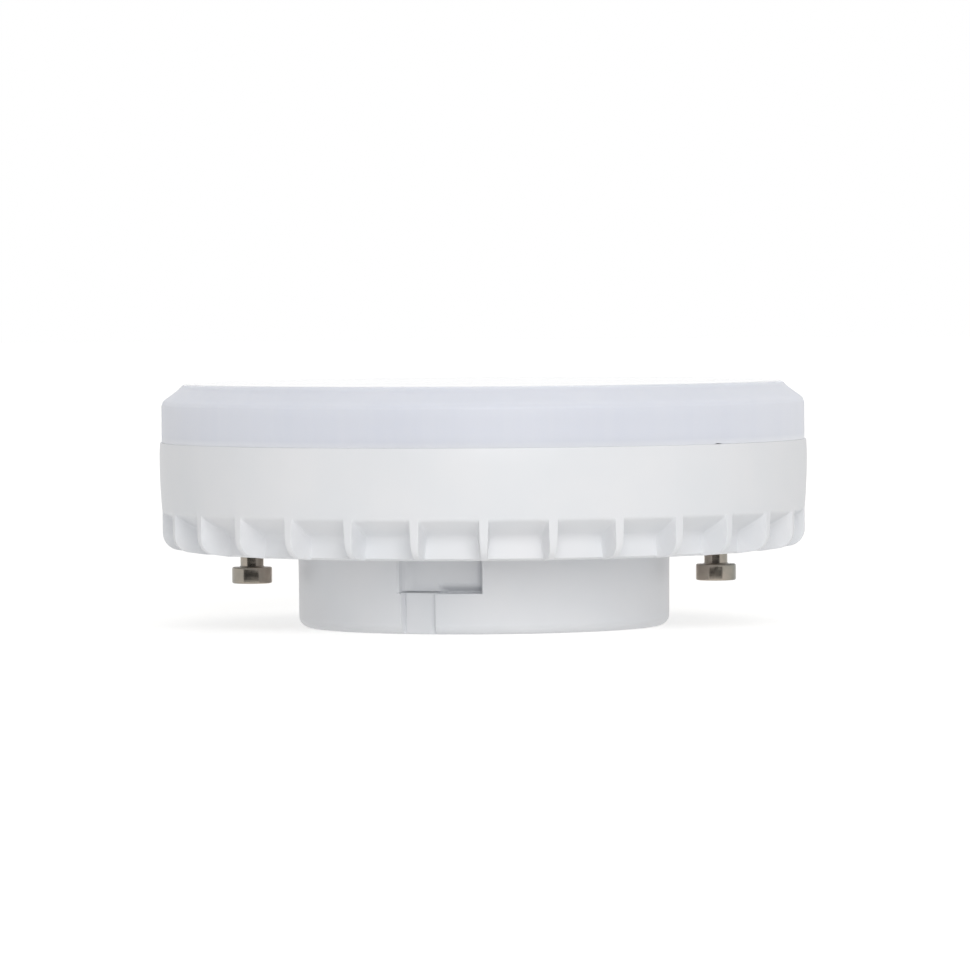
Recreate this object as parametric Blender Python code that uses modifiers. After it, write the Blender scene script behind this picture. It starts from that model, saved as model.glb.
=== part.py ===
"""LED disc lamp with a two-pin bayonet cap, in metres, +Z up.

The origin is the centre of the cap's flat end face. The opal diffuser faces up, the two contact pins lie
on the X axis and the front keyway of the cap boss faces -Y.
"""

import math

import bmesh
import bpy
from mathutils import Matrix, Vector

# Fits
GAP = 0.0003
SEAM_GAP = 0.0002

# Housing moulding
BODY_DIAMETER = 0.0739
BOSS_DIAMETER = 0.0424
BOSS_HEIGHT = 0.0087
BOSS_EDGE_RADIUS = 0.0012
BOSS_WALL = 0.0028
BOSS_DRAFT = 0.00006
RIB_HEIGHT = 0.00436
SMOOTH_WALL_HEIGHT = 0.00814
HOUSING_WALL = 0.0016
FLOOR_THICKNESS = 0.0015
WALL_DRAFT = 0.00025
RIM_ROUNDING = 0.00012
LEDGE_RISE = 0.00124
LEDGE_WIDTH = 0.00135
ROUND_STEPS = 60

# Ribs and the pockets between them
RIB_COUNT = 30
RIB_ROOT_THICKNESS = 0.0010
RIB_TIP_THICKNESS = 0.0006
POCKET_DEPTH = 0.0037
POCKET_CEILING_RISE = 0.00176
WALL_FOOT_RADIUS = 0.00035
RIB_CORNER_RADIUS = 0.0020
RIB_FOOT_SLOPE = math.radians(8.5)

# L-shaped keyways in the cap boss, one at the front and one at the back
KEYWAY_START = math.radians(-117.0)
KEYWAY_SWEEP = math.radians(26.5)
KEYWAY_HEIGHT = 0.0041
KEYWAY_DEPTH = 0.0016
CHANNEL_START = math.radians(-116.0)
CHANNEL_SWEEP = math.radians(11.0)
CHANNEL_DEPTH = 0.0008
KEYWAY_COUNT = 2

# Contact pins
PIN_SPACING = 0.053
PIN_DROP = 0.0037
PIN_HEAD_DIAMETER = 0.0046
PIN_HEAD_HEIGHT = 0.0019
PIN_HEAD_TAPER = 0.00024
PIN_EDGE_RADIUS = 0.0002
PIN_SHANK_DIAMETER = 0.00266
PIN_SLEEVE_WALL = 0.0015
PIN_SLEEVE_HEIGHT = 0.0020
PIN_TAIL_RISE = 0.0016
PIN_CUP_DIAMETER = 0.0016
PIN_CUP_DEPTH = 0.0018

# Diffuser
DIFFUSER_RISE = 0.0067
DIFFUSER_STEP = 0.00019
DIFFUSER_WALL = 0.0013
DIFFUSER_BEVEL = 0.0026
DIFFUSER_BEVEL_DROP = 0.0020
SKIRT_THICKNESS = 0.0013
BEAD_HEIGHT = 0.00045
BEAD_WIDTH = 0.0010
BEAD_DROP = 0.0018

# Heat sink tray and LED board
HEAT_SINK_SHEET = 0.0012
HEAT_SINK_HEIGHT = 0.0024
LED_BOARD_THICKNESS = 0.0010
LED_BOARD_MARGIN = 0.00275
WIRE_HOLE_DIAMETER = 0.0060
LED_LENGTH = 0.0035
LED_WIDTH = 0.0028
LED_HEIGHT = 0.0008
LED_WINDOW_BORDER = 0.00038
LED_WINDOW_DEPTH = 0.0002
OUTER_LED_COUNT = 12
OUTER_LED_INSET = 0.0095
INNER_LED_COUNT = 6
INNER_LED_RADIUS = 0.0115

# Board screws
SCREW_COUNT = 3
SCREW_INSET = 0.0035
SCREW_DIAMETER = 0.0020
SCREW_HEAD_DIAMETER = 0.0044
SCREW_HEAD_HEIGHT = 0.0015
SCREW_SLOT = 0.0005
SCREW_GRIP = 0.0040
SCREW_POST_WALL = 0.0013
PILOT_SPARE = 0.0006

# Driver board
DRIVER_BOARD_THICKNESS = 0.0016
DRIVER_BOARD_WIDTH = 0.028
DRIVER_BOARD_MARGIN = 0.0008
LOCATING_POST_DIAMETER = 0.0018
LOCATING_POST_RISE = 0.0008
LOCATING_POST_ANGLE = math.radians(30.0)
LEG_DIAMETER = 0.0006
LEG_RISE = 0.0007
LEG_EDGE_MARGIN = 0.0006
WIRE_DIAMETER = 0.0010

# Heights worked out from the sizes above
UNDERSIDE_Z = BOSS_HEIGHT
WALL_FOOT_Z = UNDERSIDE_Z + RIB_HEIGHT
RIM_Z = WALL_FOOT_Z + SMOOTH_WALL_HEIGHT
TOP_Z = RIM_Z + DIFFUSER_RISE
FLOOR_Z = UNDERSIDE_Z + FLOOR_THICKNESS
LEDGE_Z = WALL_FOOT_Z + LEDGE_RISE
HEAT_SINK_FOOT_Z = LEDGE_Z + GAP
HEAT_SINK_TOP_Z = HEAT_SINK_FOOT_Z + HEAT_SINK_HEIGHT
HEAT_SINK_UNDERSIDE_Z = HEAT_SINK_TOP_Z - HEAT_SINK_SHEET
LED_BOARD_Z = HEAT_SINK_TOP_Z + GAP
LED_BOARD_TOP_Z = LED_BOARD_Z + LED_BOARD_THICKNESS
DRIVER_BOARD_Z = FLOOR_Z + GAP
DRIVER_BOARD_TOP_Z = DRIVER_BOARD_Z + DRIVER_BOARD_THICKNESS
SMD_Z = DRIVER_BOARD_TOP_Z + GAP
SCREW_POST_TOP_Z = HEAT_SINK_UNDERSIDE_Z - GAP
PIN_END_Z = UNDERSIDE_Z - PIN_DROP
PIN_HEAD_TOP_Z = PIN_END_Z + PIN_HEAD_HEIGHT
HANGING_TOP_Z = DRIVER_BOARD_Z - GAP
HANGING_ROOM = HANGING_TOP_Z - FLOOR_THICKNESS - GAP

# Radii worked out from the sizes above
BODY_R = BODY_DIAMETER / 2
INNER_R = BODY_R - HOUSING_WALL
POCKET_R = BODY_R - WALL_DRAFT - POCKET_DEPTH
CHAMBER_R = POCKET_R - HOUSING_WALL
BOSS_R = BOSS_DIAMETER / 2
CAVITY_R = BOSS_R - BOSS_WALL
SKIRT_R = INNER_R - GAP
SKIRT_INNER_R = SKIRT_R - SKIRT_THICKNESS
DIFFUSER_R = BODY_R - WALL_DRAFT / 4 - DIFFUSER_STEP
LED_BOARD_R = SKIRT_INNER_R - LED_BOARD_MARGIN
SCREW_RING_R = LED_BOARD_R - SCREW_INSET
SCREW_POST_R = SCREW_DIAMETER / 2 + GAP + SCREW_POST_WALL
PIN_R = PIN_SPACING / 2
PIN_HOLE_R = PIN_SHANK_DIAMETER / 2 + GAP
PIN_SLEEVE_R = PIN_HOLE_R + PIN_SLEEVE_WALL
PIN_TAIL_Z = FLOOR_Z + PIN_SLEEVE_HEIGHT + PIN_TAIL_RISE
DRIVER_BOARD_R = PIN_R - PIN_SLEEVE_R - DRIVER_BOARD_MARGIN
LOCATING_POST_RING_R = (CAVITY_R + DRIVER_BOARD_R) / 2
LEG_HOLE_R = LEG_DIAMETER / 2 + GAP

MERGE = 0.000001

part_collection = bpy.data.collections.new("led_disc_lamp")
cutter_collection = bpy.data.collections.new("cutters")


def clear_scene():
    """Remove what a new file holds and link the two collections."""
    for obj in list(bpy.data.objects):
        bpy.data.objects.remove(obj, do_unlink=True)
    bpy.context.scene.collection.children.link(part_collection)
    bpy.context.scene.collection.children.link(cutter_collection)


# Materials

def make_look(name, colour, roughness, metallic=0.0):
    """A Principled material with one colour."""
    look = bpy.data.materials.new(name)
    look.use_nodes = True
    shader = look.node_tree.nodes["Principled BSDF"]
    shader.inputs["Base Color"].default_value = (*colour, 1.0)
    shader.inputs["Roughness"].default_value = roughness
    shader.inputs["Metallic"].default_value = metallic
    look.diffuse_color = (*colour, 1.0)
    return look


WHITE_PLASTIC = make_look("white_plastic", (0.78, 0.78, 0.79), 0.42)
OPAL_PLASTIC = make_look("opal_plastic", (0.68, 0.70, 0.77), 0.35)
NICKEL = make_look("nickel_plate", (0.52, 0.49, 0.44), 0.28, 1.0)
ALUMINIUM = make_look("aluminium_sheet", (0.72, 0.73, 0.74), 0.38, 1.0)
SOLDER_MASK_WHITE = make_look("white_solder_mask", (0.86, 0.86, 0.84), 0.45)
SOLDER_MASK_GREEN = make_look("green_board", (0.05, 0.22, 0.09), 0.5)
PHOSPHOR = make_look("led_phosphor", (0.88, 0.72, 0.18), 0.5)
STEEL = make_look("screw_steel", (0.60, 0.60, 0.58), 0.3, 1.0)
CAN_SLEEVE = make_look("capacitor_sleeve", (0.03, 0.04, 0.05), 0.4)
FERRITE = make_look("ferrite", (0.07, 0.07, 0.075), 0.6)
BOBBIN_PLASTIC = make_look("bobbin_plastic", (0.05, 0.05, 0.05), 0.5)
COPPER = make_look("enamelled_copper", (0.55, 0.22, 0.08), 0.35, 1.0)
FILM_BOX = make_look("film_capacitor_case", (0.55, 0.42, 0.08), 0.45)
DISC_COATING = make_look("varistor_coating", (0.03, 0.10, 0.35), 0.4)
RESISTOR_COATING = make_look("resistor_coating", (0.12, 0.25, 0.22), 0.5)
CHIP_PLASTIC = make_look("chip_plastic", (0.03, 0.03, 0.03), 0.55)
WIRE_WHITE = make_look("wire_white", (0.80, 0.80, 0.78), 0.45)
WIRE_RED = make_look("wire_red", (0.55, 0.03, 0.02), 0.45)
WIRE_BLACK = make_look("wire_black", (0.02, 0.02, 0.02), 0.45)


# Modelling helpers

def add_object(name, data, look=None):
    """Link an object to the part, or to the cutters where it has no look of its own."""
    obj = bpy.data.objects.new(name, data)
    if look is None:
        cutter_collection.objects.link(obj)
        obj.hide_render = True
        obj.display_type = "WIRE"
    else:
        part_collection.objects.link(obj)
        if not data.materials:
            data.materials.append(look)
    return obj


def mesh_from(bm, name):
    """Turn a bmesh into a mesh and free it."""
    mesh = bpy.data.meshes.new(name)
    bm.to_mesh(mesh)
    bm.free()
    return mesh


def turned(name, profile, look=None, steps=ROUND_STEPS, closed=False, angle=math.tau):
    """Turn a profile of (radius, height) points about Z. It runs down its outer side."""
    mesh = bpy.data.meshes.new(name)
    edges = [(i, i + 1) for i in range(len(profile) - 1)]
    if closed:
        edges.append((len(profile) - 1, 0))
    mesh.from_pydata([(radius, 0.0, height) for radius, height in profile], edges, [])
    obj = add_object(name, mesh, look)
    screw = obj.modifiers.new("turn", "SCREW")
    screw.axis = "Z"
    screw.angle = angle
    screw.steps = steps
    screw.render_steps = steps
    screw.use_merge_vertices = angle == math.tau
    screw.merge_threshold = MERGE
    return obj


def arc(centre, radius, start, end, pieces):
    """Points along an arc in the profile plane, angles in degrees from +radius towards +height."""
    points = []
    for i in range(pieces + 1):
        angle = math.radians(start + (end - start) * i / pieces)
        points.append((centre[0] + radius * math.cos(angle), centre[1] + radius * math.sin(angle)))
    return points


def add_cylinder(bm, x, y, bottom, top, radius, segments=16):
    """Add an upright capped cylinder to a bmesh."""
    place = Matrix.Translation((x, y, (bottom + top) / 2))
    bmesh.ops.create_cone(
        bm, cap_ends=True, segments=segments, radius1=radius, radius2=radius, depth=top - bottom, matrix=place
    )


def add_box(bm, centre, size):
    """Add a box to a bmesh and return its vertices."""
    place = Matrix.Translation(centre) @ Matrix.Diagonal((*size, 1.0))
    return bmesh.ops.create_cube(bm, size=1.0, matrix=place)["verts"]


def boxes(name, blocks, look=None):
    """One object of boxes, each given as (centre, size)."""
    bm = bmesh.new()
    for centre, size in blocks:
        add_box(bm, centre, size)
    return add_object(name, mesh_from(bm, name), look)


def combine(obj, other, operation):
    """Cut one object by another, or join it to its mesh."""
    boolean = obj.modifiers.new(other.name, "BOOLEAN")
    boolean.object = other
    boolean.operation = operation
    boolean.solver = "EXACT"


def soften(obj, width, segments=2):
    """Round the sharp edges of an object."""
    bevel = obj.modifiers.new("soften", "BEVEL")
    bevel.width = width
    bevel.segments = segments
    bevel.limit_method = "ANGLE"
    bevel.angle_limit = math.radians(40.0)


def prism(name, outline, bottom, top, look):
    """A closed upright block with a given outline in plan."""
    count = len(outline)
    corners = [(x, y, z) for z in (bottom, top) for x, y in outline]
    sides = [(i, (i + 1) % count, count + (i + 1) % count, count + i) for i in range(count)]
    mesh = bpy.data.meshes.new(name)
    mesh.from_pydata(corners, [], [tuple(reversed(range(count))), tuple(range(count, count * 2)), *sides])
    return add_object(name, mesh, look)


def circle_outline(x, y, radius, count=24):
    """Points of a circle in plan."""
    steps = [math.tau * i / count for i in range(count)]
    return [(x + radius * math.cos(angle), y + radius * math.sin(angle)) for angle in steps]


def flat_plate(name, outlines, thickness, look):
    """A flat outline, with its holes as further outlines, centred on its own mid-plane."""
    curve = bpy.data.curves.new(name, "CURVE")
    curve.dimensions = "2D"
    curve.fill_mode = "BOTH"
    curve.extrude = thickness / 2
    for outline in outlines:
        spline = curve.splines.new("POLY")
        spline.points.add(len(outline) - 1)
        for point, (x, y) in zip(spline.points, outline):
            point.co = (x, y, 0.0, 1.0)
        spline.use_cyclic_u = True
    return add_object(name, curve, look)


def tube_curve(name, paths, diameter, resolution=2):
    """Round tubes with filled caps, one along each path."""
    curve = bpy.data.curves.new(name, "CURVE")
    curve.dimensions = "3D"
    curve.bevel_depth = diameter / 2
    curve.bevel_resolution = resolution
    curve.use_fill_caps = True
    for path in paths:
        spline = curve.splines.new("POLY")
        spline.points.add(len(path) - 1)
        for point, co in zip(spline.points, path):
            point.co = (*co, 1.0)
    return curve


def tube_mesh(name, paths, diameter):
    """Tubes as a closed mesh, which a Boolean can join to a body."""
    guide = add_object(name + "_guide", tube_curve(name, paths, diameter, 1))
    evaluated = guide.evaluated_get(bpy.context.evaluated_depsgraph_get())
    mesh = bpy.data.meshes.new_from_object(evaluated)
    bpy.data.objects.remove(guide, do_unlink=True)
    bm = bmesh.new()
    bm.from_mesh(mesh)
    bmesh.ops.remove_doubles(bm, verts=bm.verts, dist=MERGE)
    bm.to_mesh(mesh)
    bm.free()
    return mesh


def smooth_route(points, per_span=3):
    """A smooth curve through hand-chosen points."""
    ends = [points[0] * 2 - points[1], *points, points[-1] * 2 - points[-2]]
    route = []
    for a, b, c, d in zip(ends, ends[1:], ends[2:], ends[3:]):
        for i in range(per_span):
            t = i / per_span
            route.append(
                0.5 * (2 * b + (c - a) * t + (2 * a - 5 * b + 4 * c - d) * t**2 + (3 * b - a - 3 * c + d) * t**3)
            )
    return [*route, points[-1]]


def wire(name, points, look):
    """An insulated wire through hand-chosen points."""
    route = smooth_route([Vector(point) for point in points])
    return add_object(name, tube_curve(name, [route], WIRE_DIAMETER), look)


def around(count, radius, first=0.0):
    """Evenly spaced places on a circle, as (x, y, angle)."""
    places = []
    for i in range(count):
        angle = first + math.tau * i / count
        places.append((radius * math.cos(angle), radius * math.sin(angle), angle))
    return places


SCREW_PLACES = [(x, y) for x, y, _ in around(SCREW_COUNT, SCREW_RING_R, math.pi / 2)]
PIN_PLACES = {"left": (-PIN_R, 0.0), "right": (PIN_R, 0.0)}
POST_PLACES = [(x, y) for x, y, _ in around(2, LOCATING_POST_RING_R, LOCATING_POST_ANGLE)]


# Housing

def housing_profile():
    """Section of the housing: inside from the boss floor up to the rim, then down its outer side."""
    foot_r = BODY_R - WALL_DRAFT
    corner_rise = (foot_r - POCKET_R) * math.tan(RIB_FOOT_SLOPE)
    turn = math.pi / 2 - RIB_FOOT_SLOPE
    corner_z = UNDERSIDE_Z + corner_rise + RIB_CORNER_RADIUS * math.tan(turn / 2)
    corner = (foot_r - RIB_CORNER_RADIUS, corner_z)
    groove_z = RIM_Z - BEAD_DROP
    groove_r = INNER_R + BEAD_HEIGHT
    half_bead = BEAD_WIDTH / 2
    boss_foot_r = BOSS_R - BOSS_DRAFT
    return [
        (0.0, FLOOR_THICKNESS),
        (CAVITY_R, FLOOR_THICKNESS),
        (CAVITY_R, FLOOR_Z),
        (CHAMBER_R, FLOOR_Z),
        (CHAMBER_R, LEDGE_Z - POCKET_CEILING_RISE + GAP),
        (INNER_R - LEDGE_WIDTH, LEDGE_Z),
        (INNER_R, LEDGE_Z),
        (INNER_R, groove_z - half_bead - GAP),
        (groove_r, groove_z - half_bead / 3 - GAP),
        (groove_r, groove_z + half_bead / 3 + GAP),
        (INNER_R, groove_z + half_bead + GAP),
        (INNER_R, RIM_Z),
        (BODY_R - WALL_DRAFT / 4 - RIM_ROUNDING, RIM_Z),
        (BODY_R - WALL_DRAFT / 4, RIM_Z - RIM_ROUNDING),
        (BODY_R, RIM_Z - HOUSING_WALL),
        *arc(corner, RIB_CORNER_RADIUS, 0.0, -math.degrees(turn), 5),
        (POCKET_R + GAP, UNDERSIDE_Z),
        (BOSS_R, UNDERSIDE_Z),
        (boss_foot_r, BOSS_EDGE_RADIUS),
        *arc((boss_foot_r - BOSS_EDGE_RADIUS, BOSS_EDGE_RADIUS), BOSS_EDGE_RADIUS, -22.5, -90.0, 3),
        (0.0, 0.0),
    ]


def pocket_cutter():
    """The 30 pockets: a turned ring that the tapered rib plates divide."""
    foot_r = BODY_R - WALL_DRAFT
    outer_r = BODY_R + GAP * 3
    low_z = UNDERSIDE_Z - RIB_ROOT_THICKNESS
    foot_centre = (foot_r - WALL_FOOT_RADIUS, WALL_FOOT_Z + WALL_FOOT_RADIUS)
    ring = turned(
        "pocket_ring",
        [
            (outer_r, foot_centre[1] + WALL_FOOT_RADIUS),
            (outer_r, low_z),
            (POCKET_R, low_z),
            (POCKET_R, WALL_FOOT_Z - POCKET_CEILING_RISE),
            *arc(foot_centre, WALL_FOOT_RADIUS, -65.0, 0.0, 2),
        ],
        closed=True,
    )
    plates = rib_plates(low_z - RIB_TIP_THICKNESS, WALL_FOOT_Z + RIB_HEIGHT / 2)
    combine(ring, plates, "DIFFERENCE")
    return ring


def rib_plates(bottom, top):
    """The ribs as plates on the radii, thinner towards their free edge as moulded ribs are."""
    taper = (RIB_ROOT_THICKNESS - RIB_TIP_THICKNESS) / RIB_HEIGHT
    length = POCKET_DEPTH * 3
    middle_r = POCKET_R + POCKET_DEPTH / 2
    bm = bmesh.new()
    for _, _, angle in around(RIB_COUNT, middle_r, -math.pi / 2):
        corners = add_box(bm, (middle_r, 0.0, (bottom + top) / 2), (length, 1.0, top - bottom))
        for corner in corners:
            thickness = RIB_TIP_THICKNESS + taper * (corner.co.z - UNDERSIDE_Z)
            corner.co.y *= thickness
        bmesh.ops.rotate(bm, verts=corners, matrix=Matrix.Rotation(angle, 3, "Z"))
    return add_object("rib_plates", mesh_from(bm, "rib_plates"))


def sector_cutter(name, start, sweep, bottom, top, depth):
    """A curved block that cuts into the boss from outside to a given depth."""
    reach = depth + BOSS_EDGE_RADIUS
    middle_r = BOSS_R - depth + reach / 2
    sheet = turned(name, [(middle_r, top), (middle_r, bottom)], steps=6, angle=sweep)
    sheet.rotation_euler.z = start
    shell = sheet.modifiers.new("depth", "SOLIDIFY")
    shell.thickness = reach
    shell.offset = 0.0
    return sheet


def keyway_cutters():
    """Recess and channel of each L-shaped keyway. The recess reaches up to the underside."""
    cutters = []
    recess_z = UNDERSIDE_Z - KEYWAY_HEIGHT
    for i in range(KEYWAY_COUNT):
        turn = math.tau * i / KEYWAY_COUNT
        cutters.append(
            sector_cutter(f"recess_{i}", KEYWAY_START + turn, KEYWAY_SWEEP, recess_z, UNDERSIDE_Z, KEYWAY_DEPTH)
        )
        cutters.append(
            sector_cutter(f"channel_{i}", CHANNEL_START + turn, CHANNEL_SWEEP, -GAP, recess_z + GAP, CHANNEL_DEPTH)
        )
    return cutters


def cylinder_set(name, places, bottom, top, radius, segments=16):
    """Upright cylinders of one kind, one at each place."""
    bm = bmesh.new()
    for x, y in places:
        add_cylinder(bm, x, y, bottom, top, radius, segments)
    return add_object(name, mesh_from(bm, name))


def housing_posts():
    """Screw posts, pin sleeves and locating posts that stand on the floor."""
    root_z = FLOOR_Z - FLOOR_THICKNESS / 2
    locating_top = DRIVER_BOARD_TOP_Z + LOCATING_POST_RISE
    return [
        cylinder_set("screw_posts", SCREW_PLACES, root_z, SCREW_POST_TOP_Z, SCREW_POST_R),
        cylinder_set("pin_sleeves", PIN_PLACES.values(), root_z, FLOOR_Z + PIN_SLEEVE_HEIGHT, PIN_SLEEVE_R),
        cylinder_set("locating_posts", POST_PLACES, root_z, locating_top, LOCATING_POST_DIAMETER / 2, 12),
    ]


def housing_holes():
    """Pilot holes in the screw posts, the pins' holes and the room round their heads."""
    pilot_bottom = SCREW_POST_TOP_Z - SCREW_GRIP - PILOT_SPARE
    pins = PIN_PLACES.values()
    return [
        cylinder_set("pilot_holes", SCREW_PLACES, pilot_bottom, SCREW_POST_TOP_Z + GAP, SCREW_DIAMETER / 2 + GAP),
        cylinder_set("pin_holes", pins, PIN_HEAD_TOP_Z, PIN_TAIL_Z + GAP, PIN_HOLE_R),
        cylinder_set("head_room", pins, -GAP, PIN_HEAD_TOP_Z + GAP, PIN_HEAD_DIAMETER / 2 + GAP),
    ]


def make_housing():
    """The one-piece moulding: smooth wall, ribs, underside and cap boss."""
    housing = turned("housing", housing_profile(), WHITE_PLASTIC)
    for posts in housing_posts():
        combine(housing, posts, "UNION")
    for holes in housing_holes():
        combine(housing, holes, "DIFFERENCE")
    combine(housing, pocket_cutter(), "DIFFERENCE")
    for cutter in keyway_cutters():
        combine(housing, cutter, "DIFFERENCE")


# Diffuser

def make_diffuser():
    """Opal cap: flat top, bevelled edge, wall, and a skirt with a snap bead inside the housing."""
    shoulder_z = RIM_Z + SEAM_GAP
    bead_z = RIM_Z - BEAD_DROP
    bevel_z = TOP_Z - DIFFUSER_BEVEL_DROP
    half_bead = BEAD_WIDTH / 2
    inner_r = DIFFUSER_R - DIFFUSER_WALL
    inner_top_z = TOP_Z - DIFFUSER_WALL
    shrink = DIFFUSER_WALL * math.tan(math.pi / 8)
    turned(
        "diffuser",
        [
            (0.0, TOP_Z),
            (DIFFUSER_R - DIFFUSER_BEVEL, TOP_Z),
            (DIFFUSER_R - DIFFUSER_BEVEL * 0.76, TOP_Z - DIFFUSER_BEVEL_DROP * 0.33),
            (DIFFUSER_R - DIFFUSER_BEVEL * 0.44, TOP_Z - DIFFUSER_BEVEL_DROP * 0.65),
            (DIFFUSER_R - DIFFUSER_BEVEL * 0.11, TOP_Z - DIFFUSER_BEVEL_DROP * 0.97),
            (DIFFUSER_R, bevel_z - DIFFUSER_BEVEL * 0.2),
            (DIFFUSER_R, shoulder_z),
            (SKIRT_R, shoulder_z),
            (SKIRT_R, bead_z + half_bead),
            (SKIRT_R + BEAD_HEIGHT, bead_z + half_bead / 3),
            (SKIRT_R + BEAD_HEIGHT, bead_z - half_bead / 3),
            (SKIRT_R, bead_z - half_bead),
            (SKIRT_R, HEAT_SINK_TOP_Z + GAP),
            (SKIRT_INNER_R, HEAT_SINK_TOP_Z + GAP),
            (SKIRT_INNER_R, shoulder_z + DIFFUSER_WALL / 2),
            (inner_r, shoulder_z + DIFFUSER_WALL * 1.5),
            (inner_r, bevel_z - shrink),
            (inner_r - DIFFUSER_BEVEL + shrink, inner_top_z),
            (0.0, inner_top_z),
        ],
        OPAL_PLASTIC,
    )


# Contact pins

def make_contact_pins():
    """Turned pins: head below the underside, shank through the sleeve, solder cup inside."""
    head_r = PIN_HEAD_DIAMETER / 2
    shank_r = PIN_SHANK_DIAMETER / 2
    edge_centre = (head_r - PIN_EDGE_RADIUS, PIN_END_Z + PIN_EDGE_RADIUS)
    profile = [
        (0.0, PIN_TAIL_Z - PIN_CUP_DEPTH),
        (PIN_CUP_DIAMETER / 2, PIN_TAIL_Z - PIN_CUP_DEPTH),
        (PIN_CUP_DIAMETER / 2, PIN_TAIL_Z),
        (shank_r, PIN_TAIL_Z),
        (shank_r, PIN_HEAD_TOP_Z),
        (head_r - PIN_HEAD_TAPER, PIN_HEAD_TOP_Z),
        (head_r, PIN_HEAD_TOP_Z - PIN_HEAD_TAPER),
        *arc(edge_centre, PIN_EDGE_RADIUS, 0.0, -90.0, 2),
        (0.0, PIN_END_Z),
    ]
    for side, (x, _) in PIN_PLACES.items():
        pin = turned(f"contact_pin_{side}", profile, NICKEL, steps=24)
        pin.location.x = x


# Heat sink and LED board

def board_hole_cutter(name, bottom, top):
    """Screw holes and the wire hole through the heat sink."""
    bm = bmesh.new()
    for x, y in SCREW_PLACES:
        add_cylinder(bm, x, y, bottom, top, SCREW_DIAMETER / 2 + GAP)
    add_cylinder(bm, 0.0, 0.0, bottom, top, WIRE_HOLE_DIAMETER / 2, 24)
    return add_object(name, mesh_from(bm, name))


def make_heat_sink():
    """Pressed tray with a turned-down rim that stands on the housing's ledge."""
    outer_r = INNER_R - GAP
    inner_r = outer_r - HEAT_SINK_SHEET
    fold = HEAT_SINK_SHEET / 2
    sink = turned(
        "heat_sink",
        [
            (0.0, HEAT_SINK_TOP_Z),
            (outer_r - fold, HEAT_SINK_TOP_Z),
            (outer_r, HEAT_SINK_TOP_Z - fold),
            (outer_r, HEAT_SINK_FOOT_Z),
            (inner_r, HEAT_SINK_FOOT_Z),
            (inner_r, HEAT_SINK_UNDERSIDE_Z),
            (0.0, HEAT_SINK_UNDERSIDE_Z),
        ],
        ALUMINIUM,
        steps=48,
    )
    combine(sink, board_hole_cutter("heat_sink_holes", FLOOR_Z, LED_BOARD_Z), "DIFFERENCE")


def make_led_board():
    """Round aluminium-core board with its screw holes and wire hole."""
    outlines = [circle_outline(0.0, 0.0, LED_BOARD_R, 48), circle_outline(0.0, 0.0, WIRE_HOLE_DIAMETER / 2)]
    outlines += [circle_outline(x, y, SCREW_DIAMETER / 2 + GAP, 16) for x, y in SCREW_PLACES]
    board = flat_plate("led_board", outlines, LED_BOARD_THICKNESS, SOLDER_MASK_WHITE)
    board.location.z = LED_BOARD_Z + LED_BOARD_THICKNESS / 2


def led_mesh():
    """LED package with a sunk phosphor window."""
    bm = bmesh.new()
    add_box(bm, (0.0, 0.0, LED_HEIGHT / 2), (LED_WIDTH, LED_LENGTH, LED_HEIGHT))
    top = max(bm.faces, key=lambda face: face.calc_center_median().z)
    bmesh.ops.inset_region(bm, faces=[top], thickness=LED_WINDOW_BORDER)
    for corner in top.verts:
        corner.co.z -= LED_WINDOW_DEPTH
    return mesh_from(bm, "led")


def make_leds():
    """Two rings of LED packages, long side along the ring."""
    mesh = led_mesh()
    places = around(OUTER_LED_COUNT, LED_BOARD_R - OUTER_LED_INSET, math.pi / OUTER_LED_COUNT)
    places += around(INNER_LED_COUNT, INNER_LED_RADIUS)
    for number, (x, y, angle) in enumerate(places, start=1):
        led = add_object(f"led_{number:02d}", mesh, PHOSPHOR)
        led.location = (x, y, LED_BOARD_TOP_Z + GAP)
        led.rotation_euler.z = angle


def make_board_screws():
    """Pan-head cross-slot screws through the LED board and the heat sink."""
    head_z = LED_BOARD_TOP_Z + GAP
    tip_z = SCREW_POST_TOP_Z - SCREW_GRIP
    top_z = head_z + SCREW_HEAD_HEIGHT
    head_r = SCREW_HEAD_DIAMETER / 2
    shank_r = SCREW_DIAMETER / 2
    profile = [
        (0.0, top_z),
        (head_r * 0.6, top_z - SCREW_HEAD_HEIGHT * 0.12),
        (head_r, top_z - SCREW_HEAD_HEIGHT * 0.6),
        (head_r, head_z),
        (shank_r, head_z),
        (shank_r, tip_z + shank_r),
        (shank_r / 2, tip_z),
        (0.0, tip_z),
    ]
    cross = SCREW_HEAD_DIAMETER * 0.55
    slot_z = top_z - SCREW_HEAD_HEIGHT / 4
    bars = {"along": (cross, SCREW_SLOT, SCREW_HEAD_HEIGHT), "across": (SCREW_SLOT, cross, SCREW_HEAD_HEIGHT)}
    for number, (x, y) in enumerate(SCREW_PLACES, start=1):
        screw = turned(f"board_screw_{number}", profile, STEEL, steps=12)
        screw.location = (x, y, 0.0)
        for direction, bar in bars.items():
            combine(screw, boxes(f"screw_slot_{direction}_{number}", [((x, y, slot_z), bar)]), "DIFFERENCE")


# Driver board

def leg_places():
    """Where component legs pass through the driver board."""
    places = []
    for part in HANGING_PARTS.values():
        places += part["legs"]
    return places


def seat_at_rim(angle, reach):
    """Centre of a hanging part that stands off the cavity wall by its own reach."""
    radius = CAVITY_R - GAP * 2 - reach
    return radius * math.cos(angle), radius * math.sin(angle)


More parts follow.
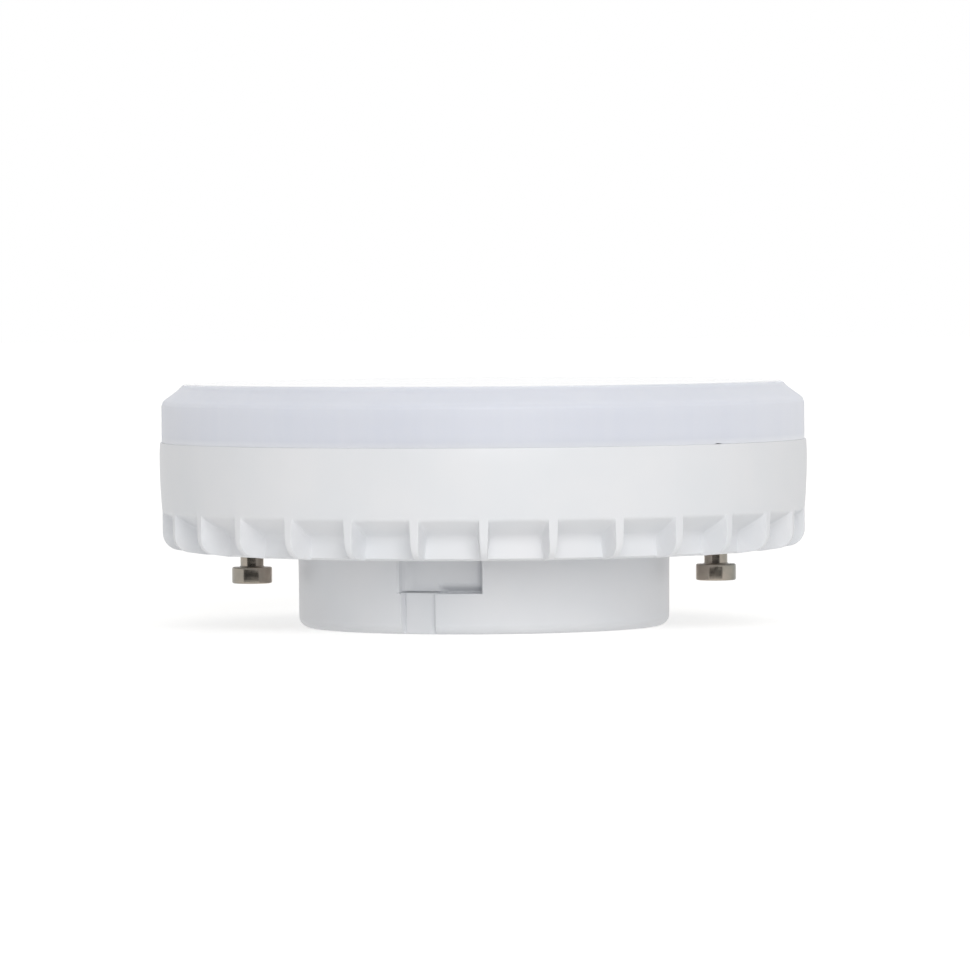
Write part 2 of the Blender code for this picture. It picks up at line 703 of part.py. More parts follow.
# Sizes of the parts that hang from the driver board into the cap boss
INPUT_CAN_LENGTH = 0.0115
INPUT_CAN_DIAMETER = HANGING_ROOM - 0.0004
OUTPUT_CAN_DIAMETER = 0.0060
OUTPUT_CAN_HEIGHT = HANGING_ROOM - 0.0006
CHOKE_DIAMETER = 0.0058
CHOKE_HEIGHT = HANGING_ROOM - 0.0010
FILM_SIZE = (0.0100, 0.0042, HANGING_ROOM - 0.0012)
FILM_LEG_SPACING = 0.0075
VARISTOR_DIAMETER = 0.0066
VARISTOR_THICKNESS = 0.0032
VARISTOR_LEG_SPACING = 0.0046
RESISTOR_LENGTH = 0.0062
RESISTOR_DIAMETER = 0.0024
RESISTOR_LEG_REACH = 0.0016
CAN_LEG_SPACING = 0.0025
CAN_LEG_REACH = 0.0012
BOBBIN_HEIGHT = HANGING_ROOM - 0.0004
BOBBIN_LEG_SPACING = 0.0050
CORE_WIDTH = 0.0104
CORE_LENGTH = 0.0110
CORE_THICKNESS = 0.0040
CORE_SIDE = 0.0012
CORE_CENTRE = 0.0024
CORE_BACK = 0.0014
BOBBIN_WALL = 0.0004
FLANGE_THICKNESS = 0.0008

BOBBIN_HALF_LENGTH = CORE_LENGTH / 2 - CORE_BACK - GAP
INPUT_CAN_REACH = math.hypot(INPUT_CAN_DIAMETER, INPUT_CAN_LENGTH + CAN_LEG_REACH * 2) / 2


def pair(x, y, spacing):
    """Two leg places either side of a centre, along X."""
    return [(x - spacing / 2, y), (x + spacing / 2, y)]


def bobbin_legs(middle_x):
    """The transformer's four leg places, in the middle of the bobbin's flanges."""
    half_x = BOBBIN_LEG_SPACING / 2
    half_y = BOBBIN_HALF_LENGTH - FLANGE_THICKNESS / 2
    return [(middle_x + x, y) for x in (-half_x, half_x) for y in (-half_y, half_y)]


def hanging_parts():
    """Centre in plan and leg places of each part under the driver board."""
    flat_y = DRIVER_BOARD_WIDTH / 2
    core_end_y = CORE_LENGTH / 2
    resistor_y = flat_y - LEG_EDGE_MARGIN - LEG_HOLE_R
    varistor_y = (core_end_y + resistor_y - RESISTOR_DIAMETER / 2) / 2
    centres = {
        "input_capacitor": seat_at_rim(math.pi, INPUT_CAN_REACH - INPUT_CAN_DIAMETER / 4),
        "output_capacitor": seat_at_rim(math.radians(24.0), OUTPUT_CAN_DIAMETER / 2),
        "filter_choke": seat_at_rim(math.radians(-22.0), CHOKE_DIAMETER / 2),
        "film_capacitor": (0.0, (core_end_y + flat_y) / 2),
        "varistor": (0.0, -varistor_y),
        "fusible_resistor": (0.0, -resistor_y),
    }
    spacings = {
        "output_capacitor": CAN_LEG_SPACING,
        "filter_choke": CHOKE_DIAMETER / 2,
        "film_capacitor": FILM_LEG_SPACING,
        "varistor": VARISTOR_LEG_SPACING,
        "fusible_resistor": RESISTOR_LENGTH + RESISTOR_LEG_REACH * 2,
    }
    parts = {}
    for name, (x, y) in centres.items():
        if name == "input_capacitor":
            legs = pair(x, y - INPUT_CAN_LENGTH / 2 - CAN_LEG_REACH, CAN_LEG_SPACING)
        else:
            legs = pair(x, y, spacings[name])
        parts[name] = {"centre": (x, y), "legs": legs}
    left_x = centres["input_capacitor"][0] + INPUT_CAN_DIAMETER / 2
    right_x = centres["output_capacitor"][0] - OUTPUT_CAN_DIAMETER / 2
    middle_x = (left_x + right_x) / 2
    parts["transformer"] = {"centre": (middle_x, 0.0), "legs": bobbin_legs(middle_x)}
    return parts


HANGING_PARTS = hanging_parts()


def make_driver_board():
    """Board with two flats, on the housing floor round the boss opening and clear of the screw posts."""
    half_width = DRIVER_BOARD_WIDTH / 2
    half_angle = math.degrees(math.asin(half_width / DRIVER_BOARD_R))
    outline = arc((0.0, 0.0), DRIVER_BOARD_R, -half_angle, half_angle, 12)
    outline += arc((0.0, 0.0), DRIVER_BOARD_R, 180.0 - half_angle, 180.0 + half_angle, 12)
    board = prism("driver_board", outline, DRIVER_BOARD_Z, DRIVER_BOARD_TOP_Z, SOLDER_MASK_GREEN)
    reach = (FLOOR_Z, SMD_Z)
    post_hole_r = LOCATING_POST_DIAMETER / 2 + GAP
    combine(board, cylinder_set("leg_holes", leg_places(), *reach, LEG_HOLE_R, 6), "DIFFERENCE")
    combine(board, cylinder_set("post_holes", POST_PLACES, *reach, post_hole_r, 12), "DIFFERENCE")
    combine(board, cylinder_set("post_notches", SCREW_PLACES, *reach, SCREW_POST_R + GAP), "DIFFERENCE")


def give_legs(body, paths):
    """Join wire legs to a component's body."""
    name = body.name + "_legs"
    combine(body, add_object(name, tube_mesh(name, paths, LEG_DIAMETER)), "UNION")


def straight_legs(name, root_z):
    """Upright legs from inside a body through the board."""
    tip_z = DRIVER_BOARD_TOP_Z + LEG_RISE
    return [[(x, y, root_z), (x, y, tip_z)] for x, y in HANGING_PARTS[name]["legs"]]


def can_profile(radius, height):
    """Electrolytic can: crimped near its base, with a rounded far edge. The base is at zero height."""
    return [
        (0.0, height),
        (radius * 0.86, height),
        (radius, height - radius * 0.14),
        (radius, height * 0.22),
        (radius * 0.92, height * 0.17),
        (radius, height * 0.12),
        (radius, radius * 0.08),
        (radius * 0.90, 0.0),
        (0.0, 0.0),
    ]


def make_input_capacitor():
    """Electrolytic on its side, its legs bent up into the board."""
    x, y = HANGING_PARTS["input_capacitor"]["centre"]
    radius = INPUT_CAN_DIAMETER / 2
    centre_z = HANGING_TOP_Z - radius
    can = turned("input_capacitor", can_profile(radius, INPUT_CAN_LENGTH), CAN_SLEEVE, steps=20)
    can.location = (x, y - INPUT_CAN_LENGTH / 2, centre_z)
    can.rotation_euler.x = -math.pi / 2
    tip_z = DRIVER_BOARD_TOP_Z + LEG_RISE
    paths = []
    for leg_x, leg_y in HANGING_PARTS["input_capacitor"]["legs"]:
        bend = LEG_DIAMETER
        paths.append(
            [
                (leg_x, leg_y + CAN_LEG_REACH + LEG_DIAMETER, centre_z),
                (leg_x, leg_y + bend, centre_z),
                (leg_x, leg_y + bend * 0.3, centre_z + bend * 0.3),
                (leg_x, leg_y, centre_z + bend),
                (leg_x, leg_y, tip_z),
            ]
        )
    give_legs(can, paths)


def make_upright_parts():
    """Output capacitor and filter choke, which hang base up under the board."""
    x, y = HANGING_PARTS["output_capacitor"]["centre"]
    can = turned("output_capacitor", can_profile(OUTPUT_CAN_DIAMETER / 2, OUTPUT_CAN_HEIGHT), CAN_SLEEVE, steps=20)
    can.location = (x, y, HANGING_TOP_Z)
    can.rotation_euler.x = math.pi
    give_legs(can, straight_legs("output_capacitor", HANGING_TOP_Z - LEG_DIAMETER))

    x, y = HANGING_PARTS["filter_choke"]["centre"]
    radius = CHOKE_DIAMETER / 2
    low_z = HANGING_TOP_Z - CHOKE_HEIGHT
    flange = CHOKE_HEIGHT * 0.14
    drum = [
        (0.0, HANGING_TOP_Z),
        (radius, HANGING_TOP_Z),
        (radius, HANGING_TOP_Z - flange),
        (radius * 0.86, HANGING_TOP_Z - flange * 1.5),
        (radius * 0.86, low_z + flange * 1.5),
        (radius, low_z + flange),
        (radius, low_z),
        (0.0, low_z),
    ]
    choke = turned("filter_choke", drum, FERRITE, steps=20)
    choke.location = (x, y, 0.0)
    give_legs(choke, straight_legs("filter_choke", HANGING_TOP_Z - LEG_DIAMETER))


def make_film_capacitor():
    """Box-shaped film capacitor."""
    x, y = HANGING_PARTS["film_capacitor"]["centre"]
    case = boxes("film_capacitor", [((x, y, HANGING_TOP_Z - FILM_SIZE[2] / 2), FILM_SIZE)], FILM_BOX)
    soften(case, LEG_DIAMETER)
    give_legs(case, straight_legs("film_capacitor", HANGING_TOP_Z - FILM_SIZE[2] / 2))


def make_varistor():
    """Coated disc that stands on edge."""
    x, y = HANGING_PARTS["varistor"]["centre"]
    radius = VARISTOR_DIAMETER / 2
    half = VARISTOR_THICKNESS / 2
    lens = [(0.0, half), (radius * 0.8, half), (radius, half * 0.4), (radius, -half * 0.4), (radius * 0.8, -half)]
    disc = turned("varistor", [*lens, (0.0, -half)], DISC_COATING, steps=20)
    disc.location = (x, y, HANGING_TOP_Z - radius)
    disc.rotation_euler.x = math.pi / 2
    give_legs(disc, straight_legs("varistor", HANGING_TOP_Z - radius))


def make_fusible_resistor():
    """Axial resistor lying under the board, its legs bent up into it."""
    x, y = HANGING_PARTS["fusible_resistor"]["centre"]
    radius = RESISTOR_DIAMETER / 2
    half = RESISTOR_LENGTH / 2
    axis_z = HANGING_TOP_Z - radius
    body = turned(
        "fusible_resistor",
        [
            (0.0, half),
            (radius * 0.7, half),
            (radius, half * 0.85),
            (radius, half * 0.55),
            (radius * 0.85, half * 0.4),
            (radius * 0.85, -half * 0.4),
            (radius, -half * 0.55),
            (radius, -half * 0.85),
            (radius * 0.7, -half),
            (0.0, -half),
        ],
        RESISTOR_COATING,
        steps=16,
    )
    body.location = (x, y, axis_z)
    body.rotation_euler.y = math.pi / 2
    tip_z = DRIVER_BOARD_TOP_Z + LEG_RISE
    paths = []
    for leg_x, leg_y in HANGING_PARTS["fusible_resistor"]["legs"]:
        inward = math.copysign(1.0, x - leg_x)
        bend = LEG_DIAMETER
        paths.append(
            [
                (leg_x + inward * (RESISTOR_LEG_REACH + LEG_DIAMETER), leg_y, axis_z),
                (leg_x + inward * bend, leg_y, axis_z),
                (leg_x + inward * bend * 0.3, leg_y, axis_z + bend * 0.3),
                (leg_x, leg_y, axis_z + bend),
                (leg_x, leg_y, tip_z),
            ]
        )
    give_legs(body, paths)


def make_transformer():
    """Two E cores, the bobbin that they enter and its winding, midway between the cans."""
    x = HANGING_PARTS["transformer"]["centre"][0]
    centre_z = HANGING_TOP_Z - BOBBIN_HEIGHT / 2
    half_w = CORE_WIDTH / 2
    half_c = CORE_CENTRE / 2
    window = half_w - CORE_SIDE
    back_y = -CORE_LENGTH / 2
    root_y = back_y + CORE_BACK
    face_y = -GAP / 2
    outline = [
        (-half_w, back_y),
        (half_w, back_y),
        (half_w, face_y),
        (window, face_y),
        (window, root_y),
        (half_c, root_y),
        (half_c, face_y),
        (-half_c, face_y),
        (-half_c, root_y),
        (-window, root_y),
        (-window, face_y),
        (-half_w, face_y),
    ]
    for number in (1, 2):
        core = flat_plate(f"transformer_core_{number}", [outline], CORE_THICKNESS, FERRITE)
        core.location = (x, 0.0, centre_z)
        core.rotation_euler.z = math.pi * (number - 1)

    hole_x = CORE_CENTRE + GAP * 2
    hole_z = CORE_THICKNESS + GAP * 2
    tube_x = hole_x + BOBBIN_WALL * 2
    tube_z = hole_z + BOBBIN_WALL * 2
    half_length = BOBBIN_HALF_LENGTH
    flange_x = (window - GAP) * 2
    bobbin = boxes("transformer_bobbin", [((x, 0.0, centre_z), (tube_x, half_length * 2, tube_z))], BOBBIN_PLASTIC)
    for number, side in enumerate((-1.0, 1.0), start=1):
        middle_y = side * (half_length - FLANGE_THICKNESS / 2)
        flange_size = (flange_x, FLANGE_THICKNESS, BOBBIN_HEIGHT)
        combine(bobbin, boxes(f"bobbin_flange_{number}", [((x, middle_y, centre_z), flange_size)]), "UNION")
    bore_size = (hole_x, CORE_LENGTH, hole_z)
    combine(bobbin, boxes("bobbin_bore", [((x, 0.0, centre_z), bore_size)]), "DIFFERENCE")
    give_legs(bobbin, straight_legs("transformer", HANGING_TOP_Z - LEG_DIAMETER * 2))

    winding_length = (half_length - FLANGE_THICKNESS - GAP) * 2
    inner = (tube_x / 2 + GAP, tube_z / 2 + GAP)
    thickness = BOBBIN_HEIGHT / 2 - inner[1] - GAP
    outer = (min(inner[0] + thickness, flange_x / 2 - GAP), inner[1] + thickness)
    outlines = [rounded_rectangle(*outer, thickness), rounded_rectangle(*inner, GAP)]
    winding = flat_plate("transformer_winding", outlines, winding_length, COPPER)
    winding.location = (x, 0.0, centre_z)
    winding.rotation_euler.x = math.pi / 2


def rounded_rectangle(half_x, half_y, radius, pieces=3):
    """Outline of a rectangle with round corners."""
    outline = []
    for start, x, y in ((0.0, 1, 1), (90.0, -1, 1), (180.0, -1, -1), (270.0, 1, -1)):
        centre = (x * (half_x - radius), y * (half_y - radius))
        outline += arc(centre, radius, start, start + 90.0, pieces)
    return outline


# Surface-mounted parts: name, centre in plan, body size, leads on each side and lead spacing
SMD_PARTS = (
    ("bridge_rectifier", (-0.0080, 0.0085), (0.0047, 0.0039, 0.0016), 2, 0.0025),
    ("driver_chip", (-0.0085, -0.0020), (0.0049, 0.0039, 0.0015), 4, 0.00127),
    ("output_diode", (0.0070, 0.0002), (0.0026, 0.0043, 0.0021), 1, 0.0),
    ("chip_resistor_1", (0.0075, -0.0085), (0.0031, 0.0016, 0.0006), 0, 0.0),
    ("chip_resistor_2", (0.0075, -0.0060), (0.0031, 0.0016, 0.0006), 0, 0.0),
    ("chip_resistor_3", (0.0075, 0.0085), (0.0031, 0.0016, 0.0006), 0, 0.0),
    ("chip_resistor_4", (-0.0075, -0.0095), (0.0031, 0.0016, 0.0006), 0, 0.0),
)
SMD_LEAD_WIDTH = 0.0005
SMD_LEAD_REACH = 0.0008


def make_smd_parts():
    """Chips on the copper side of the driver board, each with its leads along Y."""
    for name, (x, y), (length, width, height), leads, spacing in SMD_PARTS:
        body = boxes(name, [((x, y, SMD_Z + height / 2), (length, width, height))], CHIP_PLASTIC)
        if leads:
            blocks = []
            first = -spacing * (leads - 1) / 2
            for i in range(leads):
                size = (SMD_LEAD_WIDTH, width + SMD_LEAD_REACH * 2, height / 3)
                blocks.append(((x + first + spacing * i, y, SMD_Z + height / 6), size))
            combine(body, boxes(name + "_leads", blocks), "UNION")


# Wires

def make_wires():
    """Input wires from the pins' solder cups, and output wires up to the LED board."""
    cup_z = PIN_TAIL_Z - PIN_CUP_DEPTH + GAP
    crest_z = HEAT_SINK_UNDERSIDE_Z - GAP * 2 - WIRE_DIAMETER / 2
    pad_r = (CAVITY_R + DRIVER_BOARD_R) / 2
    for side, (x, _) in PIN_PLACES.items():
        outward = math.copysign(1.0, x)
        middle = (abs(x) + pad_r) / 2
        wire(
            f"input_wire_{side}",
            [
                (x, 0.0, cup_z),
                (x, 0.0, PIN_TAIL_Z + GAP),
                (outward * middle, -outward * WIRE_DIAMETER, crest_z),
                (outward * pad_r, -outward * WIRE_DIAMETER * 2, SMD_Z + WIRE_DIAMETER),
                (outward * pad_r, -outward * WIRE_DIAMETER * 2, SMD_Z),
            ],
            WIRE_WHITE,
        )
    pad_x = WIRE_HOLE_DIAMETER / 2 + WIRE_DIAMETER
    for name, side, look in (("positive", 1.0, WIRE_RED), ("negative", -1.0, WIRE_BLACK)):
        wire(
            f"output_wire_{name}",
            [
                (side * WIRE_DIAMETER, 0.0, SMD_Z),
                (side * WIRE_DIAMETER, 0.0, HEAT_SINK_TOP_Z),
                (side * WIRE_DIAMETER * 1.4, 0.0, LED_BOARD_TOP_Z + WIRE_DIAMETER),
                (side * pad_x * 0.75, 0.0, LED_BOARD_TOP_Z + WIRE_DIAMETER * 2),
                (side * pad_x, 0.0, LED_BOARD_TOP_Z + WIRE_DIAMETER),
                (side * pad_x, 0.0, LED_BOARD_TOP_Z + GAP),
            ],
            look,
        )


def shade_turned_parts():
    """Smooth shading on the meshes, with sharp edges kept."""
    for obj in part_collection.objects:
        if obj.type == "MESH":
            obj.data.shade_smooth()


clear_scene()
make_housing()
make_diffuser()
make_contact_pins()
make_heat_sink()
make_led_board()
make_leds()
make_board_screws()
make_driver_board()
make_input_capacitor()
make_upright_parts()
make_film_capacitor()
make_varistor()
make_fusible_resistor()
make_transformer()
make_smd_parts()
make_wires()
shade_turned_parts()
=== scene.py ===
"""Looks of the LED disc lamp: fine meshes for its outside, a material for every piece, studio and camera."""

import math

import bmesh
import bpy
from mathutils import Matrix, Vector


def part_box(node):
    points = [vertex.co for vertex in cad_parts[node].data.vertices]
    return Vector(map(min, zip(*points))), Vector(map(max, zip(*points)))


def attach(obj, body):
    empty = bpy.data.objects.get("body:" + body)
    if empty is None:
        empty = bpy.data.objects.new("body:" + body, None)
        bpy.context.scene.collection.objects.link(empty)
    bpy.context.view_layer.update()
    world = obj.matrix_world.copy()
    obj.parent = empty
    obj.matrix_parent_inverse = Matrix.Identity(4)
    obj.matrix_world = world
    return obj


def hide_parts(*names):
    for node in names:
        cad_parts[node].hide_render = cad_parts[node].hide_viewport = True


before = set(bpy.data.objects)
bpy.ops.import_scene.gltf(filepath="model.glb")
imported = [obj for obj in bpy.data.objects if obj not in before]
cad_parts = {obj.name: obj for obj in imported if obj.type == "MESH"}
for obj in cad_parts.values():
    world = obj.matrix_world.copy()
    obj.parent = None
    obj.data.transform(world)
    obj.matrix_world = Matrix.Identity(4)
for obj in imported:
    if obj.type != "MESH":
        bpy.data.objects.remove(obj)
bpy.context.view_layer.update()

MM = 0.001


# Sizes read from the frame

def box_of(node):
    """Lowest and highest corner of a CAD node."""
    low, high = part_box(node)
    return Vector(low), Vector(high)


BODY_R = box_of("housing")[1].x
RIM_Z = box_of("housing")[1].z
TOP_Z = box_of("diffuser")[1].z
DIFFUSER_R = box_of("diffuser")[1].x
SKIRT_FOOT_Z = box_of("diffuser")[0].z
PIN_LOW, PIN_HIGH = box_of("contact_pin_right")
PIN_R = (PIN_LOW.x + PIN_HIGH.x) / 2
PIN_HEAD_R = (PIN_HIGH.x - PIN_LOW.x) / 2
HEAT_SINK_TOP_Z = box_of("heat_sink")[1].z
DRIVER_BOARD_TOP_Z = box_of("driver_board")[1].z
DRIVER_BOARD_LOW_Z = box_of("driver_board")[0].z
LED_TOP_Z = box_of("led_01")[1].z

# Housing moulding
GAP = 0.3 * MM
UNDERSIDE_Z = 8.7 * MM
WALL_FOOT_Z = 13.06 * MM
WALL_FOOT_DRAFT = 0.25 * MM
RIM_DRAFT = 0.0625 * MM
WIDEST_DROP = 1.6 * MM
HOUSING_WALL = 1.6 * MM
FLOOR_THICKNESS = 1.5 * MM
SHEET_THICKNESS = 1.2 * MM
LEDGE_Z = 14.3 * MM
LEDGE_WIDTH = 1.35 * MM
BEAD_DROP = 1.8 * MM
BEAD_HEIGHT = 0.45 * MM
BEAD_WIDTH = 1.0 * MM
RIM_EDGE = 0.05 * MM
WALL_ROWS = 9

# Ribs and pockets
RIB_COUNT = 30
RIB_ROOT_THICKNESS = 1.0 * MM
RIB_TIP_THICKNESS = 0.6 * MM
RIB_EDGE = 0.12 * MM
RIB_FILLET = 0.8 * MM
RIB_MOUTH_FILLET = 0.22 * MM
RIB_FILLET_SHARE = 0.22
RIB_DRAFT = 0.03 * MM
RIB_CORNER_RADIUS = 2.0 * MM
RIB_FOOT_SLOPE = math.radians(8.5)
POCKET_DEPTH = 3.7 * MM
POCKET_CEILING_RISE = 1.76 * MM
POCKET_FILLET = 1.3 * MM
RING_RISE = 0.2 * MM
RING_CHAMFER = 0.8 * MM
RING_EDGE = 0.08 * MM
WALL_FOOT_RADIUS = 0.6 * MM
WALL_FOOT_SWEEP = 65.0
POCKET_COLUMNS = 3
RIB_STRAIGHT_PIECES = 5
RIB_CORNER_PIECES = 9
RIB_SLOPE_PIECES = 8
POCKET_CEILING_PIECES = 10
POCKET_WALL_PIECES = 5

# Cap boss and its L-shaped keyways
BOSS_R = 21.2 * MM
BOSS_DRAFT = 0.06 * MM
BOSS_WALL = 2.8 * MM
BOSS_EDGE_RADIUS = 1.2 * MM
BOSS_EDGE_PIECES = 10
BOSS_FILLET = 0.25 * MM
BOSS_COLLAR = 1.0 * MM
BOSS_FACE_RING = 2.0 * MM
BOSS_ROWS = 8
BOSS_STEPS = 180
KEYWAY_COUNT = 2

# Each cut of a keyway is (start angle in degrees, depth against mm round the boss, depth limit against
# height), all in mm: the recess, the channel below it, the slot behind its lower edge and the crease there
RECESS_LOW = 4.6
KEYWAY_CUTS = (
    (
        -116.9,
        (
            (-0.22, 0.0), (0.0, 0.2), (0.04, 0.8), (0.3, 1.15), (0.7, 1.42), (1.3, 1.6),
            (9.0, 1.6), (9.35, 1.68), (9.66, 1.85), (9.73, 0.18), (9.8, 0.05), (9.93, 0.0),
        ),
        (
            (RECESS_LOW - 0.18, 0.0), (RECESS_LOW - 0.05, 0.05), (RECESS_LOW, 0.18),
            (RECESS_LOW + 0.04, 3.0), (9.0, 3.0),
        ),
    ),
    (
        -116.0,
        (
            (-0.12, 0.0), (-0.04, 0.03), (0.0, 0.12), (0.04, 0.8), (0.12, 0.92), (0.34, 0.8),
            (3.65, 0.8), (3.9, 0.95), (4.03, 0.95), (4.07, 0.14), (4.11, 0.04), (4.21, 0.0),
        ),
        ((-1.0, 3.0), (RECESS_LOW + 0.2, 3.0)),
    ),
    (
        -105.3,
        ((0.0, 1.6), (0.3, 1.8), (0.6, 2.1), (1.0, 2.5), (5.36, 2.5)),
        (
            (RECESS_LOW + 0.02, 0.0), (RECESS_LOW + 0.05, 2.5), (RECESS_LOW + 0.2, 2.5),
            (RECESS_LOW + 0.35, 2.35), (RECESS_LOW + 0.5, 2.1), (RECESS_LOW + 0.65, 1.87),
            (RECESS_LOW + 0.85, 1.7), (RECESS_LOW + 1.15, 1.6),
        ),
    ),
    (
        -116.8,
        ((0.0, 1.0), (0.25, 1.6), (0.6, 2.0), (4.8, 2.0)),
        (
            (RECESS_LOW + 0.02, 0.0), (RECESS_LOW + 0.05, 2.0),
            (RECESS_LOW + 0.15, 2.0), (RECESS_LOW + 0.2, 1.5),
        ),
    ),
)

# Contact pins
PIN_SHANK_R = 1.33 * MM
PIN_HEAD_HEIGHT = 1.9 * MM
PIN_HEAD_EDGE = 0.24 * MM
PIN_END_EDGE = 0.2 * MM
PIN_NECK_FILLET = 0.12 * MM
PIN_TAIL_EDGE = 0.15 * MM
PIN_CUP_R = 0.8 * MM
PIN_CUP_DEPTH = 1.8 * MM
PIN_SLEEVE_R = 3.13 * MM
PIN_SLEEVE_HEIGHT = 2.0 * MM
PIN_EDGE_PIECES = 5
PIN_STEPS = 96

# Posts inside the housing
SCREW_COUNT = 3
SCREW_RING_R = 27.5 * MM
SCREW_POST_R = 2.6 * MM
SCREW_PILOT_R = 1.3 * MM
SCREW_PILOT_DEPTH = 4.6 * MM
LOCATING_POST_RING_R = 20.485 * MM
LOCATING_POST_R = 0.9 * MM
LOCATING_POST_RISE = 0.8 * MM
LOCATING_POST_ANGLE = math.radians(30.0)
LOCATING_POST_STEPS = 24
CYLINDER_STEPS = 48

# Diffuser
DIFFUSER_WALL = 1.3 * MM
DIFFUSER_BEVEL = 2.6 * MM
DIFFUSER_BEVEL_DROP = 2.0 * MM
DIFFUSER_TOP_EDGE = 0.35 * MM
DIFFUSER_FOOT_EDGE = 0.02 * MM
SKIRT_R = 35.05 * MM
SKIRT_THICKNESS = 1.3 * MM
DIFFUSER_STEPS = 512

# Points on its bevel, as shares of the bevel's width and drop, and how far its soft end runs down the wall
BEVEL_SHAPE = ((0.76, 0.33), (0.44, 0.65), (0.11, 0.97))
BEVEL_RUN_OUT = 0.2
BEVEL_PIECES = 4

# Height of the step inside it, in wall thicknesses
INNER_STEP = 1.7

# The opal cover is polished on its flat top and in a thin band below. Its coat is (elsewhere, there)
OPAL_TOP_BAND = 0.15 * MM
OPAL_TOP_POLISH = 0.4
OPAL_COAT = (0.25, 0.85)

# Its foot is painted lighter, as painted light against the shade along the seam. Its subsurface weight is
# (elsewhere, there)
OPAL_PAINTED_LIGHT_BAND = 0.7 * MM
OPAL_SUBSURFACE = (0.5, 0.1)

# The diffuser's seam, as (degrees from the right, gap in mm): nearly closed, with a nick at the front right
SEAM = (
    (-180.0, 0.001),
    (-143.0, 0.001),
    (-138.0, 0.006),
    (-123.0, 0.006),
    (-118.0, 0.001),
    (-48.0, 0.001),
    (-45.8, 0.008),
    (-44.8, 0.13),
    (-43.8, 0.008),
    (43.0, 0.008),
    (48.0, 0.001),
    (180.0, 0.001),
)

# Bare metal at the ends of the inner parts, measured inwards from the end of each
CAN_LEG_REACH = 1.5 * MM
RESISTOR_LEAD_REACH = 1.9 * MM
CHIP_LEAD_REACH = 0.78 * MM
CHIP_CAP_WIDTH = 0.5 * MM

LED_WINDOW_DEPTH = 0.1 * MM

# Camera, found from the photo's ellipses and the pin spacing
CAMERA_DISTANCE = 810.0 * MM
CAMERA_HEIGHT = 41.3 * MM
CAMERA_LENS = 263.0
CAMERA_SENSOR = 36.0
CAMERA_PITCH = math.radians(1.79)
CAMERA_ROLL = math.radians(0.4)
CAMERA_SIDE = 0.18 * MM

EDGE_PIECES = 4
SHARP_ANGLE = math.radians(38.0)
MERGE = 0.5e-6


# Mesh helpers

def arc(centre, radius, start, end, pieces):
    """Points along an arc in the profile plane, angles in degrees from +radius towards +height."""
    points = []
    for i in range(pieces + 1):
        angle = math.radians(start + (end - start) * i / pieces)
        points.append((centre[0] + radius * math.cos(angle), centre[1] + radius * math.sin(angle)))
    return points


def line(start, end, pieces):
    """Evenly spaced points on a straight line, with both ends."""
    return [
        (start[0] + (end[0] - start[0]) * i / pieces, start[1] + (end[1] - start[1]) * i / pieces)
        for i in range(pieces + 1)
    ]


def smooth_line(points, per_span):
    """A smooth curve through profile points."""
    ends = [Vector(points[0]) * 2 - Vector(points[1]), *map(Vector, points)]
    ends.append(Vector(points[-1]) * 2 - Vector(points[-2]))
    curve = []
    for a, b, c, d in zip(ends, ends[1:], ends[2:], ends[3:]):
        for i in range(per_span):
            t = i / per_span
            bend = (2 * a - 5 * b + 4 * c - d) * t**2
            twist = (3 * b - a - 3 * c + d) * t**3
            curve.append(0.5 * (2 * b + (c - a) * t + bend + twist))
    return [tuple(point) for point in [*curve, ends[-2]]]


def polar(radius, angle, height):
    """A point from its radius, angle and height."""
    return Vector((radius * math.cos(angle), radius * math.sin(angle), height))


def add_rings(bm, rings):
    """Join closed rings of equally many points by quads, and return the rings' vertices."""
    made = [[bm.verts.new(point) for point in ring] for ring in rings]
    for upper, lower in zip(made, made[1:]):
        for j in range(len(upper)):
            k = (j + 1) % len(upper)
            bm.faces.new((upper[j], lower[j], lower[k], upper[k]))
    return made


def close_ring(bm, ring, centre):
    """Close a ring with a fan round a centre point."""
    middle = bm.verts.new(centre)
    for j in range(len(ring)):
        bm.faces.new((ring[j], ring[(j + 1) % len(ring)], middle))


def zip_rings(bm, outer, inner):
    """Fill between two rings of different point counts, both sorted by angle."""
    def angle_of(vertex):
        return math.atan2(vertex.co.y, vertex.co.x)

    start = min(range(len(inner)), key=lambda j: abs(angle_of(inner[j]) - angle_of(outer[0])))
    inner = inner[start:] + inner[:start]
    first = angle_of(outer[0])

    def turned_by(ring, j):
        if j >= len(ring):
            return math.tau
        turn = (angle_of(ring[j]) - first) % math.tau
        return turn if j or turn < math.pi else turn - math.tau

    i = j = 0
    while i < len(outer) or j < len(inner):
        a = outer[i % len(outer)]
        b = inner[j % len(inner)]
        if j >= len(inner) or (i < len(outer) and turned_by(outer, i + 1) <= turned_by(inner, j + 1)):
            bm.faces.new((a, b, outer[(i + 1) % len(outer)]))
            i += 1
        else:
            bm.faces.new((a, b, inner[(j + 1) % len(inner)]))
            j += 1


def object_from(name, bm):
    """Turn a bmesh into a linked object and free it."""
    mesh = bpy.data.meshes.new(name)
    bm.to_mesh(mesh)
    bm.free()
    obj = bpy.data.objects.new(name, mesh)
    bpy.context.scene.collection.objects.link(obj)
    return obj


def finish_piece(name, bm, material):
    """Make a smooth-shaded piece that rides the lamp's body, with its true edges kept sharp."""
    bmesh.ops.recalc_face_normals(bm, faces=bm.faces)
    for face in bm.faces:
        face.smooth = True
    for edge in bm.edges:
        edge.smooth = len(edge.link_faces) != 2 or edge.calc_face_angle() < SHARP_ANGLE
    obj = object_from(name, bm)
    obj.data.materials.append(material)
    obj.modifiers.new("even_shading", "WEIGHTED_NORMAL").keep_sharp = True
    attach(obj, "root")
    return obj


